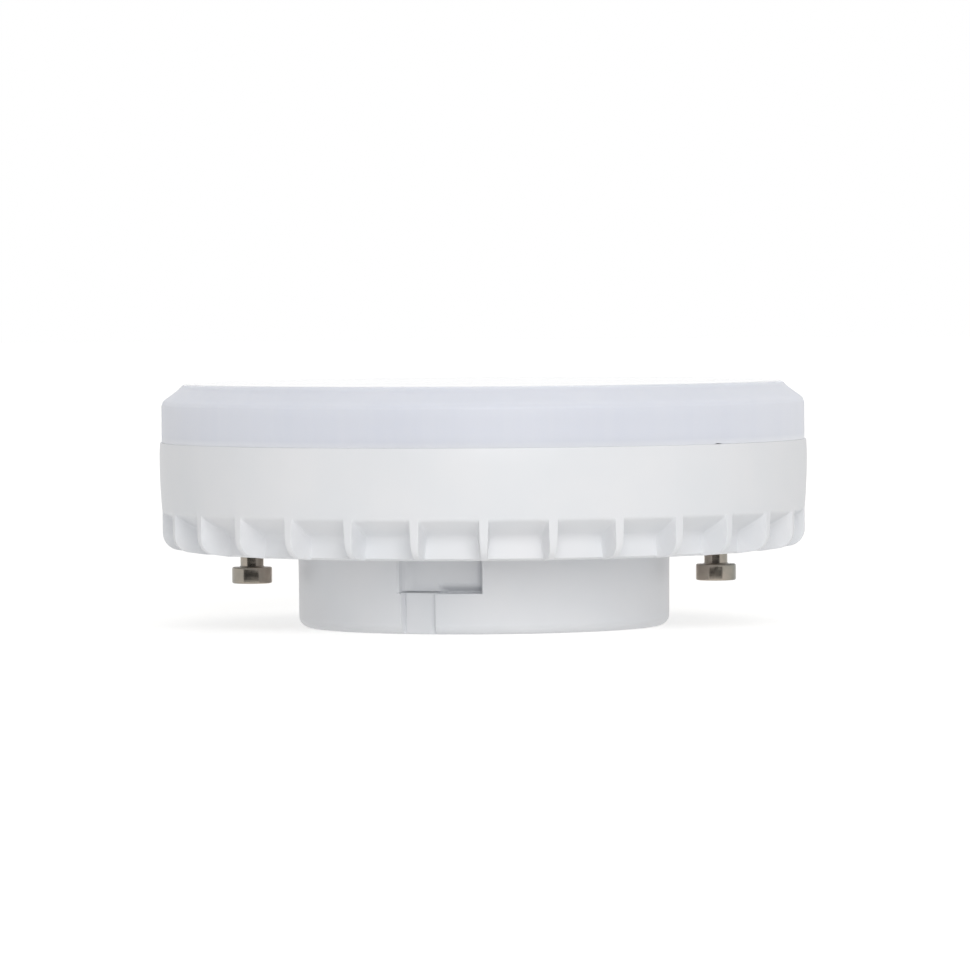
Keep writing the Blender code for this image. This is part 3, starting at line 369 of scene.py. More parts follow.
def turned_rings(profile, steps, lift=None):
    """Rings of a turned profile. lift moves a point up by an amount that depends on its angle and index."""
    rings = []
    for index, (radius, height) in enumerate(profile):
        ring = []
        for j in range(steps):
            angle = math.tau * j / steps
            rise = lift(angle, index) if lift else 0.0
            ring.append(polar(radius, angle, height + rise))
        rings.append(ring)
    return rings


def turned_piece(name, profile, steps, material, lift=None):
    """A turned piece whose profile starts and ends on its axis."""
    bm = bmesh.new()
    rings = add_rings(bm, turned_rings(profile, steps, lift)[1:-1])
    close_ring(bm, rings[0], (0.0, 0.0, profile[0][1]))
    close_ring(bm, rings[-1], (0.0, 0.0, profile[-1][1]))
    return finish_piece(name, bm, material)


# Housing

def wall_radius(height):
    """Outer radius of the smooth wall, widest just below the rim."""
    widest_z = RIM_Z - WIDEST_DROP
    if height > widest_z:
        return BODY_R - RIM_DRAFT * ((height - widest_z) / WIDEST_DROP) ** 2
    foot_z = WALL_FOOT_Z + WALL_FOOT_RADIUS
    return BODY_R - WALL_FOOT_DRAFT * ((widest_z - height) / (widest_z - foot_z)) ** 2


def rib_half_thickness(height):
    """Half the thickness of a rib, thinner towards its free edge."""
    share = (min(height, WALL_FOOT_Z) - UNDERSIDE_Z) / (WALL_FOOT_Z - UNDERSIDE_Z)
    return (RIB_TIP_THICKNESS + (RIB_ROOT_THICKNESS - RIB_TIP_THICKNESS) * max(share, 0.0) ** 0.5) / 2


def inner_profile():
    """Section of the housing's inside, from the boss floor up to the rim."""
    cavity_r = BOSS_R - BOSS_WALL
    floor_z = UNDERSIDE_Z + FLOOR_THICKNESS
    pocket_r = BODY_R - WALL_FOOT_DRAFT - POCKET_DEPTH
    chamber_r = pocket_r - HOUSING_WALL
    inner_r = BODY_R - HOUSING_WALL
    groove_z = RIM_Z - BEAD_DROP
    half_bead = BEAD_WIDTH / 2
    return [
        (cavity_r / 2, FLOOR_THICKNESS),
        (cavity_r, FLOOR_THICKNESS),
        (cavity_r, floor_z),
        (chamber_r, floor_z),
        (chamber_r, LEDGE_Z - POCKET_CEILING_RISE + GAP),
        (inner_r - LEDGE_WIDTH, LEDGE_Z),
        (inner_r, LEDGE_Z),
        (inner_r, groove_z - half_bead - GAP),
        (inner_r + BEAD_HEIGHT, groove_z - half_bead / 3 - GAP),
        (inner_r + BEAD_HEIGHT, groove_z + half_bead / 3 + GAP),
        (inner_r, groove_z + half_bead + GAP),
        (inner_r, RIM_Z),
    ]


def wall_profile():
    """Section of the rim and the smooth wall, from the rim's inner edge down to the wall foot."""
    rim_r = wall_radius(RIM_Z)
    foot_z = WALL_FOOT_Z + WALL_FOOT_RADIUS
    edge = arc((rim_r - RIM_EDGE, RIM_Z - RIM_EDGE), RIM_EDGE, 90.0, 0.0, EDGE_PIECES)
    drop = RIM_Z - RIM_EDGE - foot_z
    heights = [RIM_Z - RIM_EDGE - drop * i / WALL_ROWS for i in range(1, WALL_ROWS)]
    return [*edge, *[(wall_radius(height), height) for height in heights]]


def rib_and_pocket_profiles():
    """Sections through a rib and a pocket, point for point, from the wall foot to the underside."""
    foot_r = BODY_R - WALL_FOOT_DRAFT
    pocket_r = foot_r - POCKET_DEPTH
    corner_rise = POCKET_DEPTH * math.tan(RIB_FOOT_SLOPE)
    turn = math.pi / 2 - RIB_FOOT_SLOPE
    corner = (foot_r - RIB_CORNER_RADIUS, UNDERSIDE_Z + corner_rise + RIB_CORNER_RADIUS * math.tan(turn / 2))
    rib_arc = arc(corner, RIB_CORNER_RADIUS, 0.0, -math.degrees(turn), RIB_CORNER_PIECES)
    end = (pocket_r - RING_CHAMFER, UNDERSIDE_Z)
    rib_end = (end[0] - RING_EDGE, UNDERSIDE_Z)
    toe = (pocket_r + RING_EDGE * 2, UNDERSIDE_Z + RING_EDGE / 2)
    straight = line((foot_r, WALL_FOOT_Z + WALL_FOOT_RADIUS), rib_arc[0], RIB_STRAIGHT_PIECES)[:-1]
    slope = line(rib_arc[-1], toe, RIB_SLOPE_PIECES)[1:]
    rib = [*straight, *rib_arc, *slope, (pocket_r, UNDERSIDE_Z + RING_EDGE / 4), end, rib_end]

    foot_centre = (foot_r - WALL_FOOT_RADIUS, WALL_FOOT_Z + WALL_FOOT_RADIUS)
    foot = arc(foot_centre, WALL_FOOT_RADIUS, 0.0, -WALL_FOOT_SWEEP, EDGE_PIECES)
    ceiling_z = WALL_FOOT_Z - POCKET_CEILING_RISE
    fall = math.atan2(foot[-1][1] - ceiling_z, foot[-1][0] - pocket_r)
    reach = POCKET_FILLET * math.tan((math.pi / 2 - fall) / 2)
    fillet_start = (pocket_r + reach * math.cos(fall), ceiling_z + reach * math.sin(fall))
    fillet_centre = (pocket_r + POCKET_FILLET, ceiling_z - reach)
    fillet = arc(fillet_centre, POCKET_FILLET, 90.0 + math.degrees(fall), 180.0, EDGE_PIECES)
    ceiling = line(foot[-1], fillet_start, POCKET_CEILING_PIECES)[1:-1]
    mouth = (pocket_r, UNDERSIDE_Z + RING_RISE + RING_EDGE)
    inner_wall = line(fillet[-1], mouth, POCKET_WALL_PIECES)[1:]
    lip = (pocket_r - RING_EDGE, UNDERSIDE_Z + RING_RISE)
    pocket = [*foot, *ceiling, *fillet, *inner_wall, lip, end]
    return rib, pocket


def rib_columns(fillet):
    """Columns across half a rib, as (kind, offset from its side face, depth).

    An edge's depth is measured from the rib's free edge, and a root's from the pocket.
    """
    soft = 1.0 - math.sqrt(0.5)
    return [
        ("edge", -RIB_EDGE, 0.0),
        ("edge", -RIB_EDGE * soft, RIB_EDGE * soft),
        ("edge", 0.0, RIB_EDGE),
        ("root", RIB_DRAFT, fillet),
        ("root", RIB_DRAFT + fillet * soft, fillet * soft),
        ("root", RIB_DRAFT + fillet, 0.0),
    ]


def ribbed_ring(rib_point, pocket_point):
    """One ring round the ribs, between a point on a rib's free edge and its match in the pocket."""
    rib_point = Vector(rib_point)
    pocket_point = Vector(pocket_point)
    span = (rib_point - pocket_point).length
    pitch = math.tau / RIB_COUNT
    half_rib = [(0.0, rib_point)]
    fillet = min(max(span * RIB_FILLET_SHARE, RIB_MOUTH_FILLET), RIB_FILLET)
    for kind, offset, depth in rib_columns(fillet):
        held = min(depth, span / 2)
        share = held / span if span > MERGE else 0.0
        if kind == "root":
            share = 1.0 - share
        point = rib_point.lerp(pocket_point, share)
        half_rib.append((rib_half_thickness(point.y) + offset, point))
    last_offset = half_rib[-1][0]
    last_angle = math.asin(last_offset / pocket_point.x)
    ring = []
    for k in range(RIB_COUNT):
        middle = -math.pi / 2 + pitch * k
        for offset, point in reversed(half_rib[1:]):
            ring.append(polar(point.x, middle - math.asin(offset / point.x), point.y))
        for offset, point in half_rib:
            ring.append(polar(point.x, middle + math.asin(offset / point.x), point.y))
        for i in range(1, POCKET_COLUMNS + 1):
            angle = last_angle + (pitch - 2 * last_angle) * i / (POCKET_COLUMNS + 1)
            ring.append(polar(pocket_point.x, middle + angle, pocket_point.y))
    return ring


def level_at(table, place):
    """Level of a piecewise straight graph at a place, zero outside it."""
    for (low, low_level), (high, high_level) in zip(table, table[1:]):
        if low <= place <= high:
            share = (place - low) / (high - low)
            return low_level + (high_level - low_level) * share
    return 0.0


def boss_profile():
    """Section of the cap boss, from the underside down to its end face."""
    foot_r = BOSS_R - BOSS_DRAFT
    side_top = UNDERSIDE_Z - BOSS_FILLET
    root = arc((BOSS_R + BOSS_FILLET, side_top), BOSS_FILLET, 90.0, 180.0, EDGE_PIECES)
    drop = side_top - BOSS_EDGE_RADIUS
    rows = {round(height * MM, 7) for _, _, limits in KEYWAY_CUTS for height, _ in limits}
    heights = [height for height in rows if BOSS_EDGE_RADIUS < height < side_top]
    heights += [side_top - drop * i / BOSS_ROWS for i in range(1, BOSS_ROWS)]
    heights.sort(reverse=True)
    side = [(BOSS_R - BOSS_DRAFT * (side_top - height) / drop, height) for height in heights]
    edge_centre = (foot_r - BOSS_EDGE_RADIUS, BOSS_EDGE_RADIUS)
    edge = arc(edge_centre, BOSS_EDGE_RADIUS, 0.0, -90.0, BOSS_EDGE_PIECES)
    face = [(foot_r - BOSS_EDGE_RADIUS - BOSS_FACE_RING, 0.0), (foot_r / 2, 0.0)]
    return [*root, *side, *edge, *face]


def boss_angles():
    """Angles of the boss's columns: even steps, and closer ones at the keyways' edges."""
    special = []
    for i in range(KEYWAY_COUNT):
        for start, steps, _ in KEYWAY_CUTS:
            first = math.radians(start) + math.tau * i / KEYWAY_COUNT
            special += [round(first + along * MM / BOSS_R, 6) for along, _ in steps]
    even = [-math.pi + math.tau * i / BOSS_STEPS for i in range(BOSS_STEPS)]
    clear = math.tau / BOSS_STEPS / 4
    kept = [angle for angle in even if all(abs(angle - other) > clear for other in special)]
    return sorted([*kept, *set(special)])


def boss_radius(radius, height, angle):
    """Radius of the boss's surface once the keyways are cut."""
    depth = 0.0
    for i in range(KEYWAY_COUNT):
        for start, steps, limits in KEYWAY_CUTS:
            along = (angle - math.radians(start) - math.tau * i / KEYWAY_COUNT) * BOSS_R / MM
            depth = max(depth, min(level_at(steps, along), level_at(limits, height / MM)) * MM)
    return min(radius, BOSS_R - depth)


def add_boss(bm):
    """The cap boss with its keyways. Returns the ring where it meets the flat underside."""
    angles = boss_angles()
    rings = [[polar(BOSS_R + BOSS_COLLAR, angle, UNDERSIDE_Z) for angle in angles]]
    for radius, height in boss_profile():
        rings.append([polar(boss_radius(radius, height, angle), angle, height) for angle in angles])
    made = add_rings(bm, rings)
    close_ring(bm, made[-1], (0.0, 0.0, 0.0))
    return made[0]


def cylinder_cutter(name, places, bottom, top, radius, segments=CYLINDER_STEPS):
    """Upright cylinders as one helper object for a Boolean."""
    bm = bmesh.new()
    for x, y in places:
        bmesh.ops.create_cone(
            bm,
            cap_ends=True,
            segments=segments,
            radius1=radius,
            radius2=radius,
            depth=top - bottom,
            matrix=Matrix.Translation((x, y, (bottom + top) / 2)),
        )
    return object_from(name, bm)


def cut_and_joined(obj, steps):
    """Apply Booleans to an object, remove it and the helpers, and return the result as a bmesh."""
    for helper, operation in steps:
        boolean = obj.modifiers.new(helper.name, "BOOLEAN")
        boolean.object = helper
        boolean.operation = operation
        boolean.solver = "EXACT"
    bm = bmesh.new()
    bm.from_object(obj, bpy.context.evaluated_depsgraph_get())
    for used in [obj, *[helper for helper, _ in steps]]:
        bpy.data.objects.remove(used, do_unlink=True)
    return bm


def around(count, radius, first):
    """Evenly spaced places on a circle."""
    return [
        (radius * math.cos(first + math.tau * i / count), radius * math.sin(first + math.tau * i / count))
        for i in range(count)
    ]


def housing_features(floor_z):
    """Posts and sleeves to join to the housing, then the holes to cut into it."""
    screws = around(SCREW_COUNT, SCREW_RING_R, math.pi / 2)
    pins = [(-PIN_R, 0.0), (PIN_R, 0.0)]
    locators = around(2, LOCATING_POST_RING_R, LOCATING_POST_ANGLE)
    root_z = floor_z - FLOOR_THICKNESS / 2
    sleeve_z = floor_z + PIN_SLEEVE_HEIGHT
    post_z = HEAT_SINK_TOP_Z - SHEET_THICKNESS - GAP
    locator_z = DRIVER_BOARD_TOP_Z + LOCATING_POST_RISE
    pilot_z = post_z - SCREW_PILOT_DEPTH
    pin_hole_r = PIN_SHANK_R + GAP
    locating_posts = cylinder_cutter(
        "locating_posts", locators, root_z, locator_z, LOCATING_POST_R, LOCATING_POST_STEPS
    )
    return [
        (cylinder_cutter("screw_posts", screws, root_z, post_z, SCREW_POST_R), "UNION"),
        (cylinder_cutter("pin_sleeves", pins, root_z, sleeve_z, PIN_SLEEVE_R), "UNION"),
        (locating_posts, "UNION"),
        (cylinder_cutter("pilot_holes", screws, pilot_z, post_z + GAP, SCREW_PILOT_R), "DIFFERENCE"),
        (cylinder_cutter("pin_holes", pins, UNDERSIDE_Z - GAP, sleeve_z + GAP, pin_hole_r), "DIFFERENCE"),
    ]


def make_housing(material):
    """The ribbed moulding with its cap boss, as one fine closed mesh."""
    rib, pocket = rib_and_pocket_profiles()
    rings = [ribbed_ring(point, point) for point in [*inner_profile(), *wall_profile()]]
    rings += [ribbed_ring(outer, inner) for outer, inner in zip(rib, pocket, strict=True)]
    bm = bmesh.new()
    made = add_rings(bm, rings)
    close_ring(bm, made[0], (0.0, 0.0, FLOOR_THICKNESS))
    zip_rings(bm, made[-1], add_boss(bm))
    bmesh.ops.recalc_face_normals(bm, faces=bm.faces)
    rough = object_from("housing_rough", bm)
    bm = cut_and_joined(rough, housing_features(UNDERSIDE_Z + FLOOR_THICKNESS))
    housing = finish_piece("housing_moulding", bm, material)
    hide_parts("housing")


# Diffuser

def seam_gap(angle):
    """How far the diffuser's edge stands above the rim at an angle."""
    return level_at(SEAM, math.degrees(math.remainder(angle, math.tau))) * MM


def make_diffuser(material):
    """Opal cover with a soft bevel, its outer edge seated slightly unevenly on the rim."""
    bevel_start = (DIFFUSER_R - DIFFUSER_BEVEL, TOP_Z)
    bevel = [
        (DIFFUSER_R - DIFFUSER_BEVEL * width_share, TOP_Z - DIFFUSER_BEVEL_DROP * drop_share)
        for width_share, drop_share in BEVEL_SHAPE
    ]
    bevel.append((DIFFUSER_R, TOP_Z - DIFFUSER_BEVEL_DROP - DIFFUSER_BEVEL * BEVEL_RUN_OUT))
    fall = math.atan2(bevel_start[1] - bevel[0][1], bevel[0][0] - bevel_start[0])
    reach = DIFFUSER_TOP_EDGE * math.tan(fall / 2)
    edge_centre = (bevel_start[0] - reach, TOP_Z - DIFFUSER_TOP_EDGE)
    top_edge = arc(edge_centre, DIFFUSER_TOP_EDGE, 90.0, 90.0 - math.degrees(fall), EDGE_PIECES)
    shoulder = smooth_line([top_edge[-1], *bevel], BEVEL_PIECES)[1:]
    foot_centre = (DIFFUSER_R - DIFFUSER_FOOT_EDGE, RIM_Z + DIFFUSER_FOOT_EDGE)
    foot = arc(foot_centre, DIFFUSER_FOOT_EDGE, 0.0, -90.0, EDGE_PIECES)
    bead_z = RIM_Z - BEAD_DROP
    half_bead = BEAD_WIDTH / 2
    skirt_inner_r = SKIRT_R - SKIRT_THICKNESS
    inner_r = DIFFUSER_R - DIFFUSER_WALL
    shrink = DIFFUSER_WALL * math.tan(math.pi / 8)
    outside = [(0.0, TOP_Z), (bevel_start[0] / 2, TOP_Z), *top_edge, *shoulder]
    outside.append((DIFFUSER_R, RIM_Z + DIFFUSER_WALL))
    lifted_from = len(outside)
    edge = [*foot, (SKIRT_R, RIM_Z)]
    lifted_to = lifted_from + len(edge)
    inside = [
        (SKIRT_R, bead_z + half_bead),
        (SKIRT_R + BEAD_HEIGHT, bead_z + half_bead / 3),
        (SKIRT_R + BEAD_HEIGHT, bead_z - half_bead / 3),
        (SKIRT_R, bead_z - half_bead),
        (SKIRT_R, SKIRT_FOOT_Z),
        (skirt_inner_r, SKIRT_FOOT_Z),
        (skirt_inner_r, RIM_Z + DIFFUSER_WALL),
        (inner_r, RIM_Z + DIFFUSER_WALL * INNER_STEP),
        (inner_r, TOP_Z - DIFFUSER_BEVEL_DROP - shrink),
        (inner_r - DIFFUSER_BEVEL + shrink, TOP_Z - DIFFUSER_WALL),
        (inner_r / 2, TOP_Z - DIFFUSER_WALL),
        (0.0, TOP_Z - DIFFUSER_WALL),
    ]

    def lift(angle, index):
        return seam_gap(angle) if lifted_from <= index < lifted_to else 0.0

    profile = [*outside, *edge, *inside]
    diffuser = turned_piece("opal_cover", profile, DIFFUSER_STEPS, material, lift)
    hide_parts("diffuser")


# Contact pins

def make_pins(material):
    """Turned pins with a soft-edged head, a fillet behind it and a solder cup."""
    end_z = PIN_LOW.z
    tail_z = PIN_HIGH.z
    head_z = end_z + PIN_HEAD_HEIGHT
    profile = [
        (0.0, end_z),
        (PIN_HEAD_R / 2, end_z),
        *arc((PIN_HEAD_R - PIN_END_EDGE, end_z + PIN_END_EDGE), PIN_END_EDGE, -90.0, 0.0, PIN_EDGE_PIECES),
        (PIN_HEAD_R, end_z + PIN_HEAD_HEIGHT / 2),
        *arc((PIN_HEAD_R - PIN_HEAD_EDGE, head_z - PIN_HEAD_EDGE), PIN_HEAD_EDGE, 0.0, 90.0, PIN_EDGE_PIECES),
        (PIN_SHANK_R + PIN_NECK_FILLET, head_z),
        (PIN_SHANK_R, head_z + PIN_NECK_FILLET),
        (PIN_SHANK_R, tail_z - PIN_TAIL_EDGE),
        (PIN_SHANK_R - PIN_TAIL_EDGE, tail_z),
        (PIN_CUP_R, tail_z),
        (PIN_CUP_R, tail_z - PIN_CUP_DEPTH),
        (0.0, tail_z - PIN_CUP_DEPTH),
    ]
    for side, x in (("left", -PIN_R), ("right", PIN_R)):
        pin = turned_piece(f"turned_pin_{side}", profile, PIN_STEPS, material)
        for vertex in pin.data.vertices:
            vertex.co.x += x
        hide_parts(f"contact_pin_{side}")


# Materials

class Look:
    """A Principled material under construction, with textures in the piece's own coordinates."""

    def __init__(self, name):
        self.material = bpy.data.materials.new(name)
        self.material.use_nodes = True
        self.nodes = self.material.node_tree.nodes
        self.links = self.material.node_tree.links
        self.shader = self.nodes["Principled BSDF"]
        self.place = self.nodes.new("ShaderNodeTexCoord").outputs["Object"]

    def set(self, **values):
        """Set the shader's own sockets, with underscores for spaces."""
        for name, value in values.items():
            self.shader.inputs[name.replace("_", " ")].default_value = value
        return self

    def scaled(self, x, y, z):
        """The piece's coordinates, stretched along each axis."""
        mapping = self.nodes.new("ShaderNodeMapping")
        mapping.inputs["Scale"].default_value = (x, y, z)
        self.links.new(self.place, mapping.inputs["Vector"])
        return mapping.outputs["Vector"]

    def noise(self, size, detail=3.0, stretch=(1.0, 1.0, 1.0)):
        """Noise with features of a given size, from 0 to 1."""
        texture = self.nodes.new("ShaderNodeTexNoise")
        texture.inputs["Scale"].default_value = 1.0
        texture.inputs["Detail"].default_value = detail
        scale = [share / size for share in stretch]
        self.links.new(self.scaled(*scale), texture.inputs["Vector"])
        return texture.outputs["Fac"]

    def cells(self, size):
        """Distance to the nearest point of a random pattern."""
        texture = self.nodes.new("ShaderNodeTexVoronoi")
        texture.inputs["Scale"].default_value = 1.0
        self.links.new(self.scaled(*[1.0 / size] * 3), texture.inputs["Vector"])
        return texture.outputs["Distance"]

    def lines(self, pitch, axis):
        """Parallel lines across an axis, as on wound wire. The texture has 20 / tau lines in a unit."""
        texture = self.nodes.new("ShaderNodeTexWave")
        texture.bands_direction = axis
        texture.inputs["Scale"].default_value = math.tau / pitch / 20.0
        texture.inputs["Distortion"].default_value = 0.4
        self.links.new(self.place, texture.inputs["Vector"])
        return texture.outputs["Fac"]

    def part_of_place(self, axis):
        """One coordinate of the piece."""
        split = self.nodes.new("ShaderNodeSeparateXYZ")
        self.links.new(self.place, split.inputs["Vector"])
        return split.outputs[axis]

    def ramp(self, value, low, high, start=0.3, end=0.7):
        """Map a value to a range."""
        node = self.nodes.new("ShaderNodeMapRange")
        node.inputs["From Min"].default_value = start
        node.inputs["From Max"].default_value = end
        node.inputs["To Min"].default_value = low
        node.inputs["To Max"].default_value = high
        self.links.new(value, node.inputs["Value"])
        return node.outputs["Result"]

    def above(self, value, level, soft=0.01 * MM):
        """1 where a value is over a level, else 0."""
        return self.ramp(value, 0.0, 1.0, level - soft, level + soft)

    def math(self, operation, first, second):
        """A maths node on two values, each a socket or a number."""
        node = self.nodes.new("ShaderNodeMath")
        node.operation = operation
        for socket, value in zip(node.inputs, (first, second)):
            if isinstance(value, (int, float)):
                socket.default_value = value
            else:
                self.links.new(value, socket)
        return node.outputs["Value"]

    def mix(self, factor, first, second):
        """Mix two colours, each a socket or an (r, g, b)."""
        node = self.nodes.new("ShaderNodeMix")
        node.data_type = "RGBA"
        self.links.new(factor, node.inputs["Factor"])
        for name, value in (("A", first), ("B", second)):
            socket = [item for item in node.inputs if item.name == name and item.type == "RGBA"][0]
            if isinstance(value, tuple):
                socket.default_value = (*value, 1.0)
            else:
                self.links.new(value, socket)
        return [item for item in node.outputs if item.type == "RGBA"][0]

    def facing_up(self):
        """The upward part of the surface's direction, from -1 to 1."""
        geometry = self.nodes.new("ShaderNodeNewGeometry")
        split = self.nodes.new("ShaderNodeSeparateXYZ")
        self.links.new(geometry.outputs["True Normal"], split.inputs["Vector"])
        return split.outputs["Z"]

    def drive(self, name, value):
        """Drive one of the shader's sockets."""
        self.links.new(value, self.shader.inputs[name])

    def colour(self, value):
        """Drive the base colour."""
        self.drive("Base Color", value)

    def roughness(self, value):
        """Drive the roughness."""
        self.drive("Roughness", value)

    def bump(self, *layers):
        """Stack bumps, each as (height socket, distance in metres)."""
        normal = None
        for height, distance in layers:
            node = self.nodes.new("ShaderNodeBump")
            node.inputs["Distance"].default_value = distance
            self.links.new(height, node.inputs["Height"])
            if normal:
                self.links.new(normal, node.inputs["Normal"])
            normal = node.outputs["Normal"]
        self.drive("Normal", normal)


def white_plastic():
    """Satin white moulding with a fine spark-eroded grain and slight flow marks."""
    look = Look("white_plastic")
    flow = look.noise(9.0 * MM, 2.0)
    grain = look.noise(0.16 * MM, 4.0)
    look.colour(look.mix(look.ramp(flow, 0.0, 1.0), (0.770, 0.786, 0.812), (0.800, 0.806, 0.826)))
    look.roughness(look.ramp(grain, 0.34, 0.46))
    look.bump((flow, 0.006 * MM), (grain, 0.0025 * MM))
    return look.material


def opal_plastic():
    """Opal cover with a faint blue cast: a smooth flat top, a satin bevel and wall, and a foot painted
    lighter as painted light against the shade along the seam.
    """
    look = Look("opal_plastic")
    look.set(Diffuse_Roughness=1.0, Subsurface_Radius=(1.1, 1.05, 1.0), Subsurface_Scale=0.0025)
    cloud = look.noise(12.0 * MM, 2.0)
    grain = look.noise(0.22 * MM, 3.0)
    streak = look.noise(1.4 * MM, 2.0, (1.0, 1.0, 0.03))
    height = look.part_of_place("Z")
    tone = look.math("ADD", look.ramp(cloud, 0.0, 0.55), look.ramp(streak, 0.0, 0.45))
    opal = look.mix(tone, (0.718, 0.740, 0.812), (0.746, 0.764, 0.826))
    # Painted light: a thin band at the foot gets a lighter colour to fill the shade along the seam
    foot = look.ramp(height, 1.0, 0.0, RIM_Z, RIM_Z + OPAL_PAINTED_LIGHT_BAND)
    look.colour(look.mix(foot, opal, (0.815, 0.828, 0.868)))
    look.drive("Subsurface Weight", look.ramp(foot, *OPAL_SUBSURFACE, 0.0, 1.0))
    flat_top = look.above(height, TOP_Z - OPAL_TOP_BAND, OPAL_TOP_BAND / 2)
    polish = look.math("MULTIPLY", flat_top, OPAL_TOP_POLISH)
    rough = look.math("SUBTRACT", look.ramp(grain, 0.42, 0.52), polish)
    look.roughness(rough)
    look.drive("Coat Roughness", rough)
    look.drive("Coat Weight", look.ramp(flat_top, *OPAL_COAT, 0.0, 1.0))
    look.bump((cloud, 0.003 * MM), (grain, 0.0003 * MM))
    return look.material


def nickel_plate():
    """Nickel over turned brass: faint turning rings and a patchy tarnish, with painted light that makes the
    side towards the boss lighter and warmer than the outer side.
    """
    look = Look("nickel_plate").set(Metallic=1.0)
    patch = look.noise(1.6 * MM, 2.0)
    rings = look.noise(0.05 * MM, 2.0, (0.02, 0.02, 1.0))
    # Painted light: a ramp across each pin paints its side towards the boss lighter and warmer, and its outer
    # side darker
    across = look.part_of_place("X")
    outward = look.math("SUBTRACT", look.math("ABSOLUTE", across, 0.0), PIN_R)
    inner_painted_light = look.ramp(outward, 0.85, 0.0, -PIN_HEAD_R, PIN_HEAD_R)
    # The colour's share is the patchy tarnish plus the painted light
    share = look.math("ADD", look.ramp(patch, -0.1, 0.25), inner_painted_light)
    look.colour(look.mix(share, (0.235, 0.232, 0.205), (0.53, 0.45, 0.375)))
    look.roughness(look.ramp(rings, 0.14, 0.24))
    look.bump((rings, 0.0012 * MM))
    return look.material


def metal_sheet(name, colour, rough, grain_size):
    """Rolled or plated metal with a directional grain."""
    look = Look(name).set(Metallic=1.0)
    grain = look.noise(grain_size, 3.0, (1.0, 0.08, 1.0))
    stain = look.noise(6.0 * MM, 3.0)
    dull = tuple(share * 0.82 for share in colour)
    look.colour(look.mix(look.ramp(stain, 0.0, 1.0), dull, colour))
    look.roughness(look.ramp(grain, rough - 0.07, rough + 0.09))
    look.bump((grain, 0.002 * MM))
    return look.material


def white_board():
    """White solder mask over copper, whose pattern shows faintly."""
    look = Look("white_board")
    tracks = look.above(look.cells(7.0 * MM), 0.42, 0.03)
    grain = look.noise(0.3 * MM, 3.0)
    look.colour(look.mix(tracks, (0.80, 0.79, 0.75), (0.86, 0.86, 0.84)))
    look.roughness(look.ramp(grain, 0.32, 0.45))
    look.bump((tracks, 0.02 * MM), (grain, 0.002 * MM))
    return look.material


def green_board():
    """Green solder mask over copper tracks, with bare laminate on the cut edges."""
    look = Look("green_board")
    tracks = look.above(look.cells(3.2 * MM), 0.45, 0.04)
    weave = look.noise(0.25 * MM, 3.0)
    mask = look.mix(tracks, (0.030, 0.155, 0.055), (0.055, 0.240, 0.085))
    flat = look.above(look.math("ABSOLUTE", look.facing_up(), 0.0), 0.5, 0.1)
    laminate = look.mix(look.ramp(weave, 0.0, 1.0), (0.40, 0.37, 0.20), (0.52, 0.48, 0.30))
    look.colour(look.mix(flat, laminate, mask))
    look.roughness(look.ramp(weave, 0.30, 0.48))
    look.bump((tracks, 0.03 * MM), (weave, 0.003 * MM))
    return look.material


def led_package():
    """White package with a sunk yellow phosphor window."""
    look = Look("led_package")
    level = look.above(look.facing_up(), 0.9, 0.02)
    sunk = look.math("SUBTRACT", 1.0, look.above(look.part_of_place("Z"), LED_TOP_Z - LED_WINDOW_DEPTH))
    window = look.math("MULTIPLY", level, sunk)
    grain = look.noise(0.12 * MM, 4.0)
    phosphor = look.mix(look.ramp(grain, 0.0, 1.0), (0.80, 0.60, 0.08), (0.92, 0.76, 0.20))
    look.colour(look.mix(window, (0.84, 0.83, 0.80), phosphor))
    look.roughness(look.ramp(grain, 0.35, 0.60))
    look.bump((grain, 0.004 * MM))
    return look.material


def component(name, dark, light, rough, grain_size, *legs):
    """Body of a component, and tinned metal where its legs or leads are.

    Each of legs is (axis, level, side): metal lies above the level where side is 1, and below it where
    it is -1.
    """
    look = Look(name)
    grain = look.noise(grain_size, 4.0)
    body = look.mix(look.ramp(grain, 0.0, 1.0), dark, light)
    bare = 0.0
    for axis, level, side in legs:
        along = look.math("MULTIPLY", look.part_of_place(axis), side)
        bare = look.math("MAXIMUM", look.above(along, level * side), bare)
    if legs:
        body = look.mix(bare, body, (0.66, 0.65, 0.62))
        look.drive("Metallic", bare)
    look.colour(body)
    look.roughness(look.ramp(grain, rough - 0.08, rough + 0.08))
    look.bump((grain, 0.01 * MM))
    return look.material


def winding_wire():
    """Enamelled copper wound close, turn beside turn."""
    look = Look("enamelled_copper").set(Metallic=1.0, Coat_Weight=0.4)
    turns = look.lines(0.28 * MM, "Y")
    stain = look.noise(1.2 * MM, 3.0)
    look.colour(look.mix(look.ramp(stain, 0.0, 1.0), (0.42, 0.15, 0.05), (0.62, 0.27, 0.10)))
    look.roughness(look.ramp(stain, 0.22, 0.38))
    look.bump((turns, 0.08 * MM))
    return look.material


def insulation(name, dark, light):
    """Extruded wire insulation with a slight waviness."""
    look = Look(name)
    wave = look.noise(0.8 * MM, 2.0)
    grain = look.noise(0.1 * MM, 3.0)
    look.colour(look.mix(look.ramp(wave, 0.0, 1.0), dark, light))
    look.roughness(look.ramp(grain, 0.36, 0.52))
    look.bump((wave, 0.02 * MM), (grain, 0.002 * MM))
    return look.material


def give_look(material, *nodes):
    """Put a material on carried-over CAD nodes."""
    for node in nodes:
        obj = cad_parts[node]
        if not obj.data.materials:
            obj.data.materials.append(material)
        for slot in obj.material_slots:
            slot.material = material


